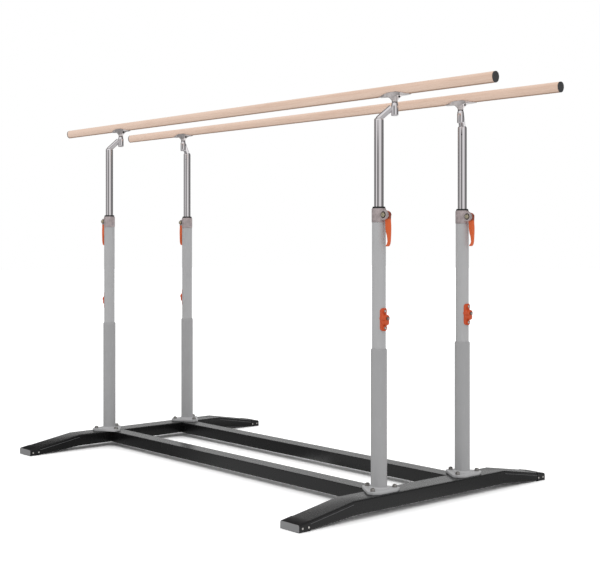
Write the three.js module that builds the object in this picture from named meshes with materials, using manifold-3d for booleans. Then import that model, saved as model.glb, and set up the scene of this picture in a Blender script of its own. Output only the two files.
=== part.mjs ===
// Height and width adjustable parallel bars: two wooden rails on four telescopic
// posts that stand on a low steel frame with sloping feet.
// Millimetres. +X runs along the rails, +Y across them, +Z up.
// The origin is on the floor under the middle of the whole.

import * as THREE from 'three';
import { mergeVertices } from 'three/addons/utils/BufferGeometryUtils.js';
import Module from 'manifold-3d';

const wasm = await Module();
wasm.setup();

// Rails
const railLength = 3500;
const railHeight = 50;
const railWidth = 40;
const railTop = 2000;
const railSetBack = 10;
const railCapThickness = 8;
const railCapEdge = 3;

// Where the posts stand
const railOverhang = 600;
const postSpanX = railLength - 2 * railOverhang;
const postSpanY = 607;

// Cranks that carry the rails beside their posts
const crankRadius = 74;
const frontCrankDegrees = 50;
const backCrankDegrees = 33;
const tubeRadius = 22.5;
const tubeWall = 3;
const tubeLength = 946;
const armRadius = 13.5;
const armLift = 14;
const armRise = 64;
const armDrop = 8;
const socketRadius = 17;
const socketLength = 56;
const socketChamfer = 3;
const setHoleRadius = 3;
const setHoleDrop = 22;

// Saddles between the cranks and the rails
const saddleLength = 190;
const saddleWidth = 46;
const saddleTipWidth = 16;
const saddleWrap = 14;
const saddleWingTip = 3;
const saddleWingDepth = 5;
const saddleHeight = 38;
const saddlePinRadius = 7;
const saddleNeckRadius = 11.5;
const saddleNeckHeight = 9;

// Posts
const columnRadius = 32.5;
const columnWall = 3;
const columnTop = 1356;
const sleeveWall = 5;
const sleeveTop = 761;
const sleeveChamfer = 4;
const weldRingWidth = 9;
const weldRingHeight = 9;

// Clamp heads on the columns
const headRim = 1.5;
const headHeight = 58;
const headBevelHeight = 14;
const headBevelInset = 7;
const lugRadius = 24;
const lugThickness = 13;
const thinLugRadius = 18;
const thinLugThickness = 7;
const lugEdge = 1.5;
const pivotRise = 34;
const clampBoltRadius = 5;
const boltRecessRadius = 16;
const boltRecessDepth = 5;
const clampHeadAcross = 20;
const clampHeadHeight = 7;
const clampHeadEdge = 1.5;
const clampWasherRadius = 12.5;
const clampWasherThickness = 2;
const bushWall = 3.2;
const bushLip = 1.5;
const padReach = 1;
const padWidth = 14;
const padHeight = 18;

// Clamp levers
const leverHubRadius = 20;
const leverWidth = 17;
const leverLength = 150;
const leverBow = 20;
const leverBladeDepth = 14;
const leverTipThickness = 8;
const leverEdge = 2;

// Latches on the columns
const latchRise = 139;
const latchWidth = 48;
const latchLength = 110;
const latchCorner = 18;
const latchPlate = 5;
const latchFlare = 5;
const latchEdge = 1.5;
const latchLobeRadius = 12;
const latchLobeProud = 4;
const latchScrewSpacing = 80;
const latchScrewRadius = 3;
const latchBossRadius = 17;
const latchBossRise = 6;
const latchLowerBossRadius = 12.5;
const latchLowerBossDrop = 13;
const latchLowerBossStep = 3;
const latchWall = 5;
const latchPinRadius = 4.5;
const latchFlangeRadius = 8;
const latchFlangeThickness = 3;
const latchTravel = 8;
const latchKnobRadius = 8;
const latchKnobLength = 6;
const latchKnobGroove = 1.5;
const springRoom = 3;

// Lifting rods inside the posts
const liftRodReach = 320;
const pistonHeight = 40;

// Base frame
const groundGap = 24;
const beamWidth = 95;
const beamHeight = 67;
const beamInset = 32;
const beamWall = 3;
const beamEdge = 4;
const crossbeamEdge = 7;
const crossbeamWidth = 123;
const crossbeamOffset = 17.5;
const footSpan = 1774;
const footKinkSpan = 1090;
const footHeight = 36;
const footSoleLength = 72;
const capWall = 1.5;
const capEdge = 9.5;
const footCapEnd = 4;

// Base plates
const plateThickness = 14;
const plateHalfLength = 97;
const plateMargin = 16.4;
const plateEdge = 2;
const plateBoltReach = 31.5;
const plateBoltRadius = 7;
const plateWasherRadius = 14;
const spannerRoom = 13.9;

// Clearances
const gap = 0.3;
const slide = 0.5;
const overrun = 5;

// Faces round a curve
const round = 24;
const medium = 14;
const small = 8;
const sweep = 3;

// Sizes worked out from the ones above
const railRadiusZ = railHeight / 2;
const railRadiusY = railWidth / 2;
const railAxisZ = railTop - railRadiusZ;
const frontCrank = THREE.MathUtils.degToRad(frontCrankDegrees);
const backCrank = THREE.MathUtils.degToRad(backCrankDegrees);
const socketTop = railTop - railHeight - saddleHeight - gap;
const socketBottom = socketTop - socketLength;
const tubeShoulder = socketTop - armDrop - armRise - armLift;
const tubeBottom = tubeShoulder - tubeLength;
const columnBore = columnRadius - columnWall;
const tubeBore = tubeRadius - tubeWall;
const headBottom = columnTop + gap;
const headRadius = columnRadius + headRim;
const pivotZ = headBottom + pivotRise;
const bushOuter = tubeRadius + slide + bushWall;
const padFace = bushOuter + padReach;
const pivotX = padFace + gap + leverHubRadius;
const slotHalf = leverWidth / 2 + slide;
const boltSeat = slotHalf + lugThickness - boltRecessDepth;
const nutSeat = slotHalf + thinLugThickness;
const beamTop = groundGap + beamHeight;
const plateTop = beamTop + gap + plateThickness;
const sleeveBore = clearRadius(columnRadius + gap, round);
const sleeveRadius = sleeveBore + sleeveWall;
const weldRingRadius = sleeveRadius + weldRingWidth;
const plateBoltOffset = weldRingRadius + spannerRoom + plateWasherRadius;
const latchFront = columnRadius + latchPlate;
const latchFlangeBack = columnRadius + slide + latchPinRadius / 2;
const latchChamberFront = latchFlangeBack + latchFlangeThickness + latchTravel + springRoom;
const latchBossFront = latchChamberFront + latchWall;
const latchHeight = sleeveTop + latchRise;
const latchPinZ = latchHeight + latchBossRise;

// A polygon of this radius stays clear of a circle that turns inside it.
function clearRadius(radius, sides) {
  return radius / Math.cos(Math.PI / sides);
}

// Turns an open-ended three.js shape round so that its faces point out.
function facingOut(geometry) {
  const place = geometry.attributes.position;
  const index = geometry.index.array;
  const corners = [new THREE.Vector3(), new THREE.Vector3(), new THREE.Vector3()];
  let volume = 0;
  for (let i = 0; i < index.length; i += 3) {
    corners.forEach((corner, k) => corner.fromBufferAttribute(place, index[i + k]));
    volume += corners[0].dot(corners[1].clone().cross(corners[2]));
  }
  if (volume < 0) {
    for (let i = 0; i < index.length; i += 3) {
      const second = index[i + 1];
      index[i + 1] = index[i + 2];
      index[i + 2] = second;
    }
  }
  return geometry;
}

// Positions only, with shared corners merged and thin slivers dropped.
function welded(geometry) {
  const bare = geometry.index ? geometry.toNonIndexed() : geometry.clone();
  bare.deleteAttribute('normal');
  bare.deleteAttribute('uv');
  const merged = mergeVertices(bare, gap / 1000);
  const index = merged.index.array;
  const kept = [];
  for (let i = 0; i < index.length; i += 3) {
    const [a, b, c] = [index[i], index[i + 1], index[i + 2]];
    if (a !== b && b !== c && c !== a) kept.push(a, b, c);
  }
  merged.setIndex(kept);
  return facingOut(merged);
}

function toSolid(geometry) {
  const merged = welded(geometry);
  return new wasm.Manifold(new wasm.Mesh({
    numProp: 3,
    vertProperties: new Float32Array(merged.attributes.position.array),
    triVerts: new Uint32Array(merged.index.array),
  }));
}

function fromSolid(solid) {
  const mesh = solid.getMesh();
  const geometry = new THREE.BufferGeometry();
  geometry.setAttribute('position', new THREE.BufferAttribute(mesh.vertProperties, 3));
  geometry.setIndex(new THREE.BufferAttribute(mesh.triVerts, 1));
  return geometry;
}

function joined(first, ...rest) {
  return fromSolid(rest.reduce((sum, piece) => sum.add(toSolid(piece)), toSolid(first)));
}

function cut(first, ...rest) {
  return fromSolid(rest.reduce((left, piece) => left.subtract(toSolid(piece)), toSolid(first)));
}

const planes = {
  xy: [new THREE.Vector3(1, 0, 0), new THREE.Vector3(0, 1, 0), new THREE.Vector3(0, 0, 1)],
  xz: [new THREE.Vector3(1, 0, 0), new THREE.Vector3(0, 0, 1), new THREE.Vector3(0, -1, 0)],
  yz: [new THREE.Vector3(0, 1, 0), new THREE.Vector3(0, 0, 1), new THREE.Vector3(1, 0, 0)],
};

// An outline pushed out to both sides of its plane, with rounded or bevelled rims.
function prism(outline, plane, thickness, edge = 0, edgeSteps = 1) {
  const geometry = new THREE.ExtrudeGeometry(outline, {
    depth: thickness - 2 * edge,
    bevelEnabled: edge > 0,
    bevelThickness: edge,
    bevelSize: edge,
    bevelOffset: -edge,
    bevelSegments: edgeSteps,
    curveSegments: sweep,
  });
  geometry.translate(0, 0, edge - thickness / 2);
  geometry.applyMatrix4(new THREE.Matrix4().makeBasis(...planes[plane]));
  return geometry;
}

function polygon(points) {
  return new THREE.Shape(points.map(([x, y]) => new THREE.Vector2(x, y)));
}

// A solid of revolution about Z from pairs of radius and height.
function turned(profile, sides = round) {
  const points = profile.map(([radius, height]) => new THREE.Vector2(radius, height));
  const geometry = new THREE.LatheGeometry(points, sides);
  geometry.rotateX(Math.PI / 2);
  return geometry;
}

// A cylinder along an axis, between two places on it.
function rod(axis, radius, from, to, sides = small) {
  const geometry = new THREE.CylinderGeometry(radius, radius, Math.abs(to - from), sides);
  if (axis === 'x') geometry.rotateZ(-Math.PI / 2);
  if (axis === 'z') geometry.rotateX(Math.PI / 2);
  const middle = (from + to) / 2;
  geometry.translate(axis === 'x' ? middle : 0, axis === 'y' ? middle : 0, axis === 'z' ? middle : 0);
  return geometry;
}

function block(sizeX, sizeY, sizeZ) {
  return new THREE.BoxGeometry(sizeX, sizeY, sizeZ);
}

function hexagon(across) {
  const radius = across / Math.sqrt(3);
  const corners = Array.from({ length: 6 }, (_, i) => (i * Math.PI) / 3);
  return polygon(corners.map((angle) => [radius * Math.cos(angle), radius * Math.sin(angle)]));
}

function roundedRectangle(width, height, corner) {
  const shape = new THREE.Shape();
  const x = width / 2 - corner;
  const y = height / 2 - corner;
  shape.absarc(x, y, corner, 0, Math.PI / 2);
  shape.absarc(-x, y, corner, Math.PI / 2, Math.PI);
  shape.absarc(-x, -y, corner, Math.PI, 1.5 * Math.PI);
  shape.absarc(x, -y, corner, 1.5 * Math.PI, 2 * Math.PI);
  return shape;
}

// The egg-like rail section, a little fuller at the top than at the bottom.
const railFullnessShare = 0.06;

function railSection(grow = 0, sides = round) {
  const points = Array.from({ length: sides }, (_, i) => {
    const angle = (2 * Math.PI * i) / sides;
    const full = 1 + railFullnessShare * Math.sin(angle) - railFullnessShare;
    const y = (railRadiusY + grow) * Math.cos(angle) * full;
    return [y / (1 - railFullnessShare), (railRadiusZ + grow) * Math.sin(angle)];
  });
  return polygon(points);
}

// Rails and their caps

function railBar() {
  const length = railLength - 2 * (railCapThickness + gap);
  return prism(railSection(), 'yz', length).translate(0, 0, railAxisZ);
}

function railCap(side) {
  const cap = prism(railSection(), 'yz', railCapThickness, railCapEdge);
  const middle = (railLength - railCapThickness) / 2;
  return cap.translate(side * middle, 0, railAxisZ);
}

// Saddle casting: a boat-shaped cradle along the rail, a neck and a swivel pin.

const keelShare = 0.5;
const shoulderShare = 0.55;
const bowWidthShare = 0.88;

function saddle() {
  const underRail = railTop - railHeight;
  const half = saddleLength / 2;
  const wide = saddleWidth / 2;
  const neckZ = socketTop + saddleNeckHeight;
  const keelZ = underRail - saddleWingDepth - saddleWingTip;
  const mirrored = (right) => polygon([...right, ...right.map(([x, y]) => [-x, y]).reverse()]);
  const fromSide = prism(mirrored([
    [saddleNeckRadius, neckZ], [keelShare * half, keelZ], [half, underRail - saddleWingDepth],
    [half, underRail + saddleWingTip], [shoulderShare * half, underRail + saddleWrap],
  ]), 'xz', saddleWidth);
  const fromAbove = prism(mirrored([
    [shoulderShare * half, -wide], [half, -saddleTipWidth / 2], [half, saddleTipWidth / 2],
    [shoulderShare * half, wide],
  ]), 'xy', railHeight).translate(0, 0, underRail);
  const fromEnd = prism(mirrored([
    [saddleNeckRadius, neckZ], [bowWidthShare * wide, keelZ], [wide, underRail],
    [wide, underRail + saddleWrap + overrun],
  ]), 'yz', saddleLength);
  const hull = toSolid(fromSide).intersect(toSolid(fromAbove)).intersect(toSolid(fromEnd));
  const neck = rod('z', saddleNeckRadius, socketTop + gap, keelZ, medium);
  const pin = rod('z', saddlePinRadius, socketBottom + tubeWall, neckZ);
  const rail = prism(railSection(gap), 'yz', saddleLength + 2 * overrun).translate(0, 0, railAxisZ);
  return cut(joined(fromSolid(hull), neck, pin), rail);
}

// Crank: a chromed tube with a round shoulder, a rising arm and a vertical socket.

const domeDegrees = [0, 30, 60, 90];
const armReachShare = 0.9;

function crank() {
  const dome = domeDegrees.map(THREE.MathUtils.degToRad).map((angle) => [
    tubeRadius * Math.cos(angle), tubeShoulder + tubeRadius * Math.sin(angle),
  ]);
  const round = [[0, tubeBottom], [tubeRadius, tubeBottom], ...dome.slice(0, -1)];
  const tube = turned([...round, [0, tubeShoulder + tubeRadius]]);
  const bore = rod('z', tubeBore, tubeBottom - overrun, tubeShoulder - tubeWall, medium);
  const slope = Math.atan2(armRise, crankRadius);
  const reach = Math.hypot(crankRadius, armRise) * armReachShare;
  const arm = turned([
    [0, -armRadius], [armRadius / Math.SQRT2, -armRadius / Math.SQRT2], [armRadius, 0], [armRadius, reach],
    [0, reach],
  ], medium).rotateY(Math.PI / 2 - slope).translate(0, 0, tubeShoulder + armLift);
  const ends = [socketBottom, socketTop];
  const socket = turned([
    [0, ends[0]], [socketRadius - socketChamfer, ends[0]], [socketRadius, ends[0] + socketChamfer],
    [socketRadius, ends[1] - socketChamfer], [socketRadius - socketChamfer, ends[1]], [0, ends[1]],
  ], medium).translate(crankRadius, 0, 0);
  const pinHole = rod('z', clearRadius(saddlePinRadius + gap, small), socketBottom + tubeWall - gap,
    socketTop + overrun).translate(crankRadius, 0, 0);
  const setHole = rod('x', setHoleRadius, tubeBore - overrun, tubeRadius + overrun);
  setHole.translate(0, 0, tubeShoulder - setHoleDrop);
  return cut(joined(tube, arm, socket), bore, pinHole, setHole);
}

function liftRod() {
  const top = tubeBottom - gap;
  const bottom = top - pistonHeight;
  const piston = columnBore * Math.cos(Math.PI / round) - slide;
  const radius = tubeBore * Math.cos(Math.PI / medium) - slide;
  const reach = top + liftRodReach;
  return turned([
    [0, bottom], [piston, bottom], [piston, top], [radius, top], [radius, reach], [0, reach],
  ], medium);
}

// Post pieces, drawn for the near end with their fittings towards +X

function column() {
  const tube = turned([
    [columnBore, plateTop + gap], [columnRadius, plateTop + gap], [columnRadius, columnTop],
    [columnBore, columnTop], [columnBore, plateTop + gap],
  ]);
  const inner = columnBore - overrun;
  const outer = columnRadius + overrun;
  const pinHole = rod('x', clearRadius(latchPinRadius + gap, small), inner, outer);
  const screwHoles = [-1, 1].map((side) => rod('x', clearRadius(latchScrewRadius + gap, small), inner, outer)
    .translate(0, 0, latchHeight + (side * latchScrewSpacing) / 2));
  return cut(tube, pinHole.translate(0, 0, latchPinZ), ...screwHoles);
}

// Bolts of a base plate: two into the crossbeam and one in the ear over the long beam
const crossBolts = [-1, 1].map((side) => [plateBoltReach, side * plateBoltOffset]);
const earBolt = [-plateBoltOffset, 0];

const plateReachShares = [0.72, 0.54, 0.2, -0.85, -1];
const plateSpreadShares = [0.6, 0.93, 1, 0.31, 0.19];

function boltHole([x, y], from) {
  return rod('z', clearRadius(plateBoltRadius + gap, small), from, plateTop + overrun).translate(x, y, 0);
}

function postSocket() {
  const reach = plateBoltOffset + plateMargin;
  const corners = plateReachShares.map((share, i) => [share * reach, plateSpreadShares[i] * plateHalfLength]);
  const mirrored = corners.map(([x, y]) => [x, -y]).reverse();
  const plate = prism(polygon([...corners, ...mirrored]), 'xy', plateThickness, plateEdge);
  plate.translate(0, 0, plateTop - plateThickness / 2);
  const sleeve = turned([
    [0, plateTop - overrun], [weldRingRadius, plateTop - overrun], [weldRingRadius, plateTop + plateEdge],
    [sleeveRadius + plateEdge, plateTop + weldRingHeight], [sleeveRadius, plateTop + weldRingHeight + plateEdge],
    [sleeveRadius, sleeveTop - sleeveChamfer], [sleeveRadius - sleeveChamfer, sleeveTop], [0, sleeveTop],
  ]);
  const bore = rod('z', sleeveBore, plateTop, sleeveTop + overrun, round);
  const holes = [...crossBolts, earBolt].map((place) => boltHole(place, beamTop - overrun));
  return cut(joined(plate, sleeve), bore, ...holes);
}

// One lug of the clamp head, between two places across the head
function lug(radius, from, to) {
  const outline = new THREE.Shape();
  outline.moveTo(0, pivotZ - radius);
  outline.lineTo(pivotX, pivotZ - radius);
  outline.absarc(pivotX, pivotZ, radius, -Math.PI / 2, Math.PI / 2);
  outline.lineTo(0, pivotZ + radius);
  return prism(outline, 'xz', to - from, lugEdge).translate(0, (from + to) / 2, 0);
}

function clampHead() {
  const top = headBottom + headHeight;
  const crown = top + headBevelHeight;
  const barrel = turned([
    [0, headBottom], [headRadius, headBottom], [headRadius, top], [headRadius - headBevelInset, crown],
    [0, crown],
  ]);
  const thick = lug(lugRadius, -slotHalf - lugThickness, -slotHalf);
  const thin = lug(thinLugRadius, slotHalf, nutSeat);
  const slotRadius = clearRadius(leverHubRadius + gap, round);
  const slot = rod('y', slotRadius, -slotHalf, slotHalf, round).translate(pivotX, 0, pivotZ);
  const bore = rod('z', clearRadius(bushOuter + gap, round), headBottom - overrun, crown + overrun, round);
  const bolt = rod('y', clearRadius(clampBoltRadius + gap, small), -boltSeat - overrun, nutSeat + overrun);
  const recess = rod('y', boltRecessRadius, -boltSeat, -boltSeat - 2 * boltRecessDepth, round);
  const window = block(3 * bushWall, padWidth + 2 * gap, padHeight + 2 * gap)
    .translate(bushOuter, 0, pivotZ);
  return cut(joined(barrel, thick, thin), slot, bore, window, bolt.translate(pivotX, 0, pivotZ),
    recess.translate(pivotX, 0, pivotZ));
}

function clampBolt() {
  const grip = { [-1]: boltSeat + gap, 1: nutSeat + gap };
  const pieces = [-1, 1].flatMap((side) => {
    const washer = grip[side] + clampWasherThickness;
    return [
      rod('y', clampWasherRadius, side * grip[side], side * washer, medium),
      prism(hexagon(clampHeadAcross), 'xz', clampHeadHeight, clampHeadEdge)
        .translate(0, side * (washer + clampHeadHeight / 2), 0),
    ];
  });
  const shank = rod('y', clampBoltRadius, -grip[-1] - clampWasherThickness, grip[1] + clampWasherThickness);
  return joined(shank, ...pieces).translate(pivotX, 0, pivotZ);
}

// Collet bush round the sliding tube, with the pad that the lever's cam presses
function guideBush() {
  const inner = clearRadius(tubeRadius + gap, round);
  const crown = headBottom + headHeight + headBevelHeight;
  const bottom = headBottom + gap;
  const sleeve = turned([
    [inner, bottom], [bushOuter, bottom], [bushOuter, crown + gap], [bushOuter - bushLip / 2, crown + bushLip],
    [inner, crown + bushLip], [inner, bottom],
  ]);
  const pad = block(padReach + bushWall / 2, padWidth, padHeight);
  pad.translate(padFace - (padReach + bushWall / 2) / 2, 0, pivotZ);
  return joined(sleeve, pad);
}

// Shares of the lever's length down the blade, from the hub to the hooked tip
const leverNotchShare = 0.145;
const leverWaistShare = 0.42;
const leverHeelShare = 0.84;
const leverHookShare = 0.955;

function clampLever() {
  const back = leverBow - leverBladeDepth;
  const heel = leverBow - leverTipThickness / 4;
  const shape = new THREE.Shape();
  const from = THREE.MathUtils.degToRad(-50);
  const to = THREE.MathUtils.degToRad(250);
  shape.absarc(0, 0, leverHubRadius, from, to);
  shape.quadraticCurveTo(back, -leverHubRadius, back, -leverLength * leverWaistShare);
  shape.lineTo(heel - leverTipThickness, -leverLength * leverHeelShare);
  shape.quadraticCurveTo(back, -leverLength * leverHookShare, -leverTipThickness / 3,
    -leverLength * leverHookShare);
  shape.lineTo(-leverTipThickness / 3, -leverLength);
  shape.quadraticCurveTo(heel - leverTipThickness / 2, -leverLength, heel, -leverLength * leverHeelShare);
  shape.quadraticCurveTo(leverBow + leverTipThickness / 4, -leverLength * leverWaistShare,
    leverBow - leverTipThickness / 4, -2 * leverLength * leverNotchShare);
  shape.lineTo(leverBow - leverTipThickness, -leverLength * leverNotchShare);
  const body = prism(shape, 'xz', leverWidth, leverEdge);
  const hole = rod('y', clearRadius(clampBoltRadius + gap, small), -leverWidth, leverWidth);
  return cut(body, hole).translate(pivotX, 0, pivotZ);
}

// Latch housing with its pull pin

// A boss of the latch, turned about X, with a flare where it leaves the shell
function latchBoss(radius, front, height) {
  const back = columnRadius / 2;
  return turned([
    [0, back], [radius + latchFlare, back], [radius + latchFlare, latchFront - latchEdge],
    [radius, latchFront + latchFlare], [radius, front - latchEdge], [radius - latchEdge, front], [0, front],
  ], medium).rotateY(Math.PI / 2).translate(0, 0, height);
}

function latchHousing() {
  const back = columnRadius / 2;
  const outline = roundedRectangle(latchWidth, latchLength, latchCorner);
  const plate = prism(outline, 'yz', 2 * latchFront).translate(0, 0, latchHeight);
  const wrap = rod('z', latchFront, latchHeight - latchLength, latchHeight + latchLength, round);
  const shell = fromSolid(toSolid(plate).intersect(toSolid(wrap)));
  const lobes = [-1, 1].map((side) => rod('x', latchLobeRadius, back, latchFront + latchLobeProud, medium)
    .translate(0, 0, latchHeight + (side * latchScrewSpacing) / 2));
  const boss = latchBoss(latchBossRadius, latchBossFront, latchPinZ);
  const lowFront = latchBossFront - latchLowerBossStep;
  const lowBoss = latchBoss(latchLowerBossRadius, lowFront, latchHeight - latchLowerBossDrop);
  const post = rod('z', clearRadius(columnRadius + gap, round), latchHeight - latchLength,
    latchHeight + latchLength, round);
  const chamber = rod('x', clearRadius(latchFlangeRadius + slide, small), back, latchChamberFront);
  const pinHole = rod('x', clearRadius(latchPinRadius + gap, small), back, latchBossFront + overrun);
  const screwHoles = [-1, 1].map((side) => rod('x', clearRadius(latchScrewRadius + gap, small), back,
    latchFront + latchLobeProud + overrun).translate(0, 0, latchHeight + (side * latchScrewSpacing) / 2));
  const behind = block(2 * columnRadius, 2 * latchWidth, 2 * latchLength)
    .translate(back - columnRadius, 0, latchHeight);
  return cut(joined(shell, ...lobes, boss, lowBoss), post, behind, chamber.translate(0, 0, latchPinZ),
    pinHole.translate(0, 0, latchPinZ), ...screwHoles);
}

function latchPin() {
  const nose = columnBore + gap;
  const flange = latchFlangeBack;
  const knob = latchBossFront + gap;
  const groove = knob + latchKnobLength / 2;
  return turned([
    [0, nose], [latchPinRadius - latchKnobGroove, nose], [latchPinRadius, nose + latchKnobGroove],
    [latchPinRadius, flange], [latchFlangeRadius, flange], [latchFlangeRadius, flange + latchFlangeThickness],
    [latchPinRadius, flange + latchFlangeThickness], [latchPinRadius, knob], [latchKnobRadius, knob],
    [latchKnobRadius - latchKnobGroove, groove], [latchKnobRadius, knob + latchKnobLength - latchKnobGroove],
    [latchKnobRadius - latchKnobGroove, knob + latchKnobLength], [0, knob + latchKnobLength],
  ], small).rotateY(Math.PI / 2).translate(0, 0, latchPinZ);
}

// Base frame

// The ear of each base plate is bolted to the top of the beam, off its middle line.
function longBeam(side) {
  const length = postSpanX + 2 * crossbeamOffset - crossbeamWidth - 2 * gap;
  const outline = roundedRectangle(beamWidth, beamHeight, beamEdge);
  const inner = roundedRectangle(beamWidth - 2 * beamWall, beamHeight - 2 * beamWall, beamEdge / 2);
  outline.holes.push(inner);
  const tube = prism(outline, 'yz', length).translate(0, 0, groundGap + beamHeight / 2);
  const holes = [-1, 1].map((end) => boltHole([end * (postSpanX / 2 - plateBoltOffset), side * beamInset],
    beamTop - 2 * beamWall));
  return cut(tube, ...holes);
}

// Slope of the foot's top, and where its steel ends behind the cap
const footSlope = (beamTop - footHeight + capWall) / ((footSpan - footKinkSpan) / 2);
const beamEnd = footSpan / 2 - footCapEnd - gap;

function footTop(y) {
  return beamTop - footSlope * (y - footKinkSpan / 2);
}

// Outline of the crossbeam seen from its end, drawn in by an inset and run past its tips.
function crossbeamOutline(inset, reach) {
  const tip = beamEnd + reach;
  const right = [
    [footKinkSpan / 2, beamTop - inset], [tip, footTop(tip) - inset], [tip, capWall + inset],
    [footSpan / 2 - footSoleLength, capWall + inset], [footKinkSpan / 2, groundGap + inset],
  ];
  const left = right.map(([y, z]) => [-y, z]).reverse();
  return polygon([...right, ...left].reverse());
}

function crossbeam() {
  const shell = prism(crossbeamOutline(0, 0), 'yz', crossbeamWidth, crossbeamEdge, 2);
  const cavity = prism(crossbeamOutline(beamWall, overrun), 'yz', crossbeamWidth - 2 * beamWall);
  const holes = [-1, 1].flatMap((post) => crossBolts.map(([x, y]) => boltHole(
    [x - crossbeamOffset, y + (post * postSpanY) / 2], beamTop - 2 * beamWall)));
  return cut(shell, cavity, ...holes);
}

// A cap over the end of a foot, closed at the tip and flat where it stands.
function footCap() {
  const from = footSpan / 2 - footSoleLength + crossbeamEdge;
  const to = footSpan / 2;
  const outline = polygon([
    [from, 0], [to, 0], [to, footTop(to) + capWall], [from, footTop(from) + capWall],
  ]);
  const outer = prism(outline, 'yz', crossbeamWidth + 2 * capWall, capEdge, 2);
  const inner = prism(crossbeamOutline(-gap, gap), 'yz', crossbeamWidth + 2 * gap, crossbeamEdge, 2);
  return cut(outer, inner);
}

// Materials

function finish(color, roughness, metalness) {
  return new THREE.MeshStandardMaterial({ color, roughness, metalness });
}

const blackPaint = finish(0x2b2b2c, 0.4, 0.2);
const greyPaint = finish(0xa6a6a6, 0.42, 0.1);
const chrome = finish(0xc9c9cc, 0.12, 1);
const castAlloy = finish(0xa59b9b, 0.5, 0.8);
const polishedAlloy = finish(0xc4c2c4, 0.25, 1);
const zinc = finish(0xbdb58c, 0.35, 1);
const steel = finish(0x8d8d90, 0.35, 1);
const orangePlastic = finish(0xd95a30, 0.45, 0);
const redPaint = finish(0xc84a2a, 0.4, 0.1);
const wood = finish(0xe2c8b2, 0.55, 0);
const darkPlastic = finish(0x3c3c3d, 0.55, 0);
const rubber = finish(0x2c2c2d, 0.85, 0);

// Assembly

const bars = new THREE.Group();

function add(name, geometry, material, parent = bars) {
  const mesh = new THREE.Mesh(welded(geometry), material);
  mesh.name = name;
  parent.add(mesh);
  return mesh;
}

const ends = [['near', 1], ['far', -1]];
const sides = [['front', -1], ['back', 1]];
const posts = ends.flatMap(([end, endSign]) => sides.map(([side, sideSign]) => ({
  name: `${end}_${side}`,
  x: (endSign * postSpanX) / 2,
  y: (sideSign * postSpanY) / 2,
  turn: endSign > 0 ? 0 : Math.PI,
})));

for (const post of posts) {
  const place = new THREE.Group();
  place.position.set(post.x, post.y, 0);
  place.rotation.z = post.turn;
  bars.add(place);
  add(`${post.name}_post_socket`, postSocket(), greyPaint, place);
  add(`${post.name}_column`, column(), greyPaint, place);
  add(`${post.name}_clamp_head`, clampHead(), castAlloy, place);
  add(`${post.name}_clamp_bolt`, clampBolt(), zinc, place);
  add(`${post.name}_clamp_lever`, clampLever(), redPaint, place);
  add(`${post.name}_guide_bush`, guideBush(), darkPlastic, place);
  add(`${post.name}_latch_housing`, latchHousing(), orangePlastic, place);
  add(`${post.name}_latch_pin`, latchPin(), steel, place);
  add(`${post.name}_lift_rod`, liftRod(), steel, place);
}

// Each rail rides on two cranks that point the same way.
const railSides = [
  { side: 'front', sign: -1, angle: Math.PI / 2 - frontCrank, crank: frontCrank },
  { side: 'back', sign: 1, angle: backCrank - Math.PI / 2, crank: backCrank },
];

for (const rail of railSides) {
  const forward = crankRadius * Math.sin(rail.crank);
  const across = rail.sign * (postSpanY / 2 - crankRadius * Math.cos(rail.crank));
  const carried = new THREE.Group();
  carried.position.set(forward, across, 0);
  bars.add(carried);
  for (const [end, endSign] of ends) {
    const pivot = new THREE.Group();
    pivot.position.set((endSign * postSpanX) / 2, (rail.sign * postSpanY) / 2, 0);
    pivot.rotation.z = rail.angle;
    bars.add(pivot);
    add(`${end}_${rail.side}_crank_tube`, crank(), chrome, pivot);
    add(`${end}_${rail.side}_saddle`, saddle(), polishedAlloy, carried)
      .position.set((endSign * postSpanX) / 2, 0, 0);
    add(`${end}_${rail.side}_rail_cap`, railCap(endSign), darkPlastic, carried)
      .position.set(-railSetBack, 0, 0);
  }
  add(`${rail.side}_rail`, railBar(), wood, carried).position.set(-railSetBack, 0, 0);
}

for (const [end, endSign] of ends) {
  const middle = endSign * (postSpanX / 2 + crossbeamOffset);
  const beam = add(`${end}_crossbeam`, crossbeam(), blackPaint);
  beam.position.set(middle, 0, 0);
  beam.rotation.z = endSign > 0 ? 0 : Math.PI;
  for (const [side, sideSign] of sides) {
    const cap = add(`${end}_${side}_foot_cap`, footCap(), rubber);
    cap.position.set(middle, 0, 0);
    cap.rotation.z = sideSign > 0 ? 0 : Math.PI;
  }
}

for (const [side, sideSign] of sides) {
  add(`${side}_beam`, longBeam(sideSign), blackPaint)
    .position.set(0, sideSign * (postSpanY / 2 - beamInset), 0);
}

// The rails stand forward of the frame, so the whole is moved back to centre it.
const railMiddles = railSides.map((rail) => crankRadius * Math.sin(rail.crank) - railSetBack);
bars.position.x = -(Math.min(...railMiddles) + Math.max(...railMiddles)) / 2;
bars.updateMatrixWorld(true);

export default bars;
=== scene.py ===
"""Gymnastics parallel bars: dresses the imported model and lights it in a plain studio."""

import logging
import math
from collections.abc import Callable, Sequence
from dataclasses import dataclass
from enum import Enum
from typing import Any

import bmesh
import bpy
from mathutils import Matrix, Vector


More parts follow.
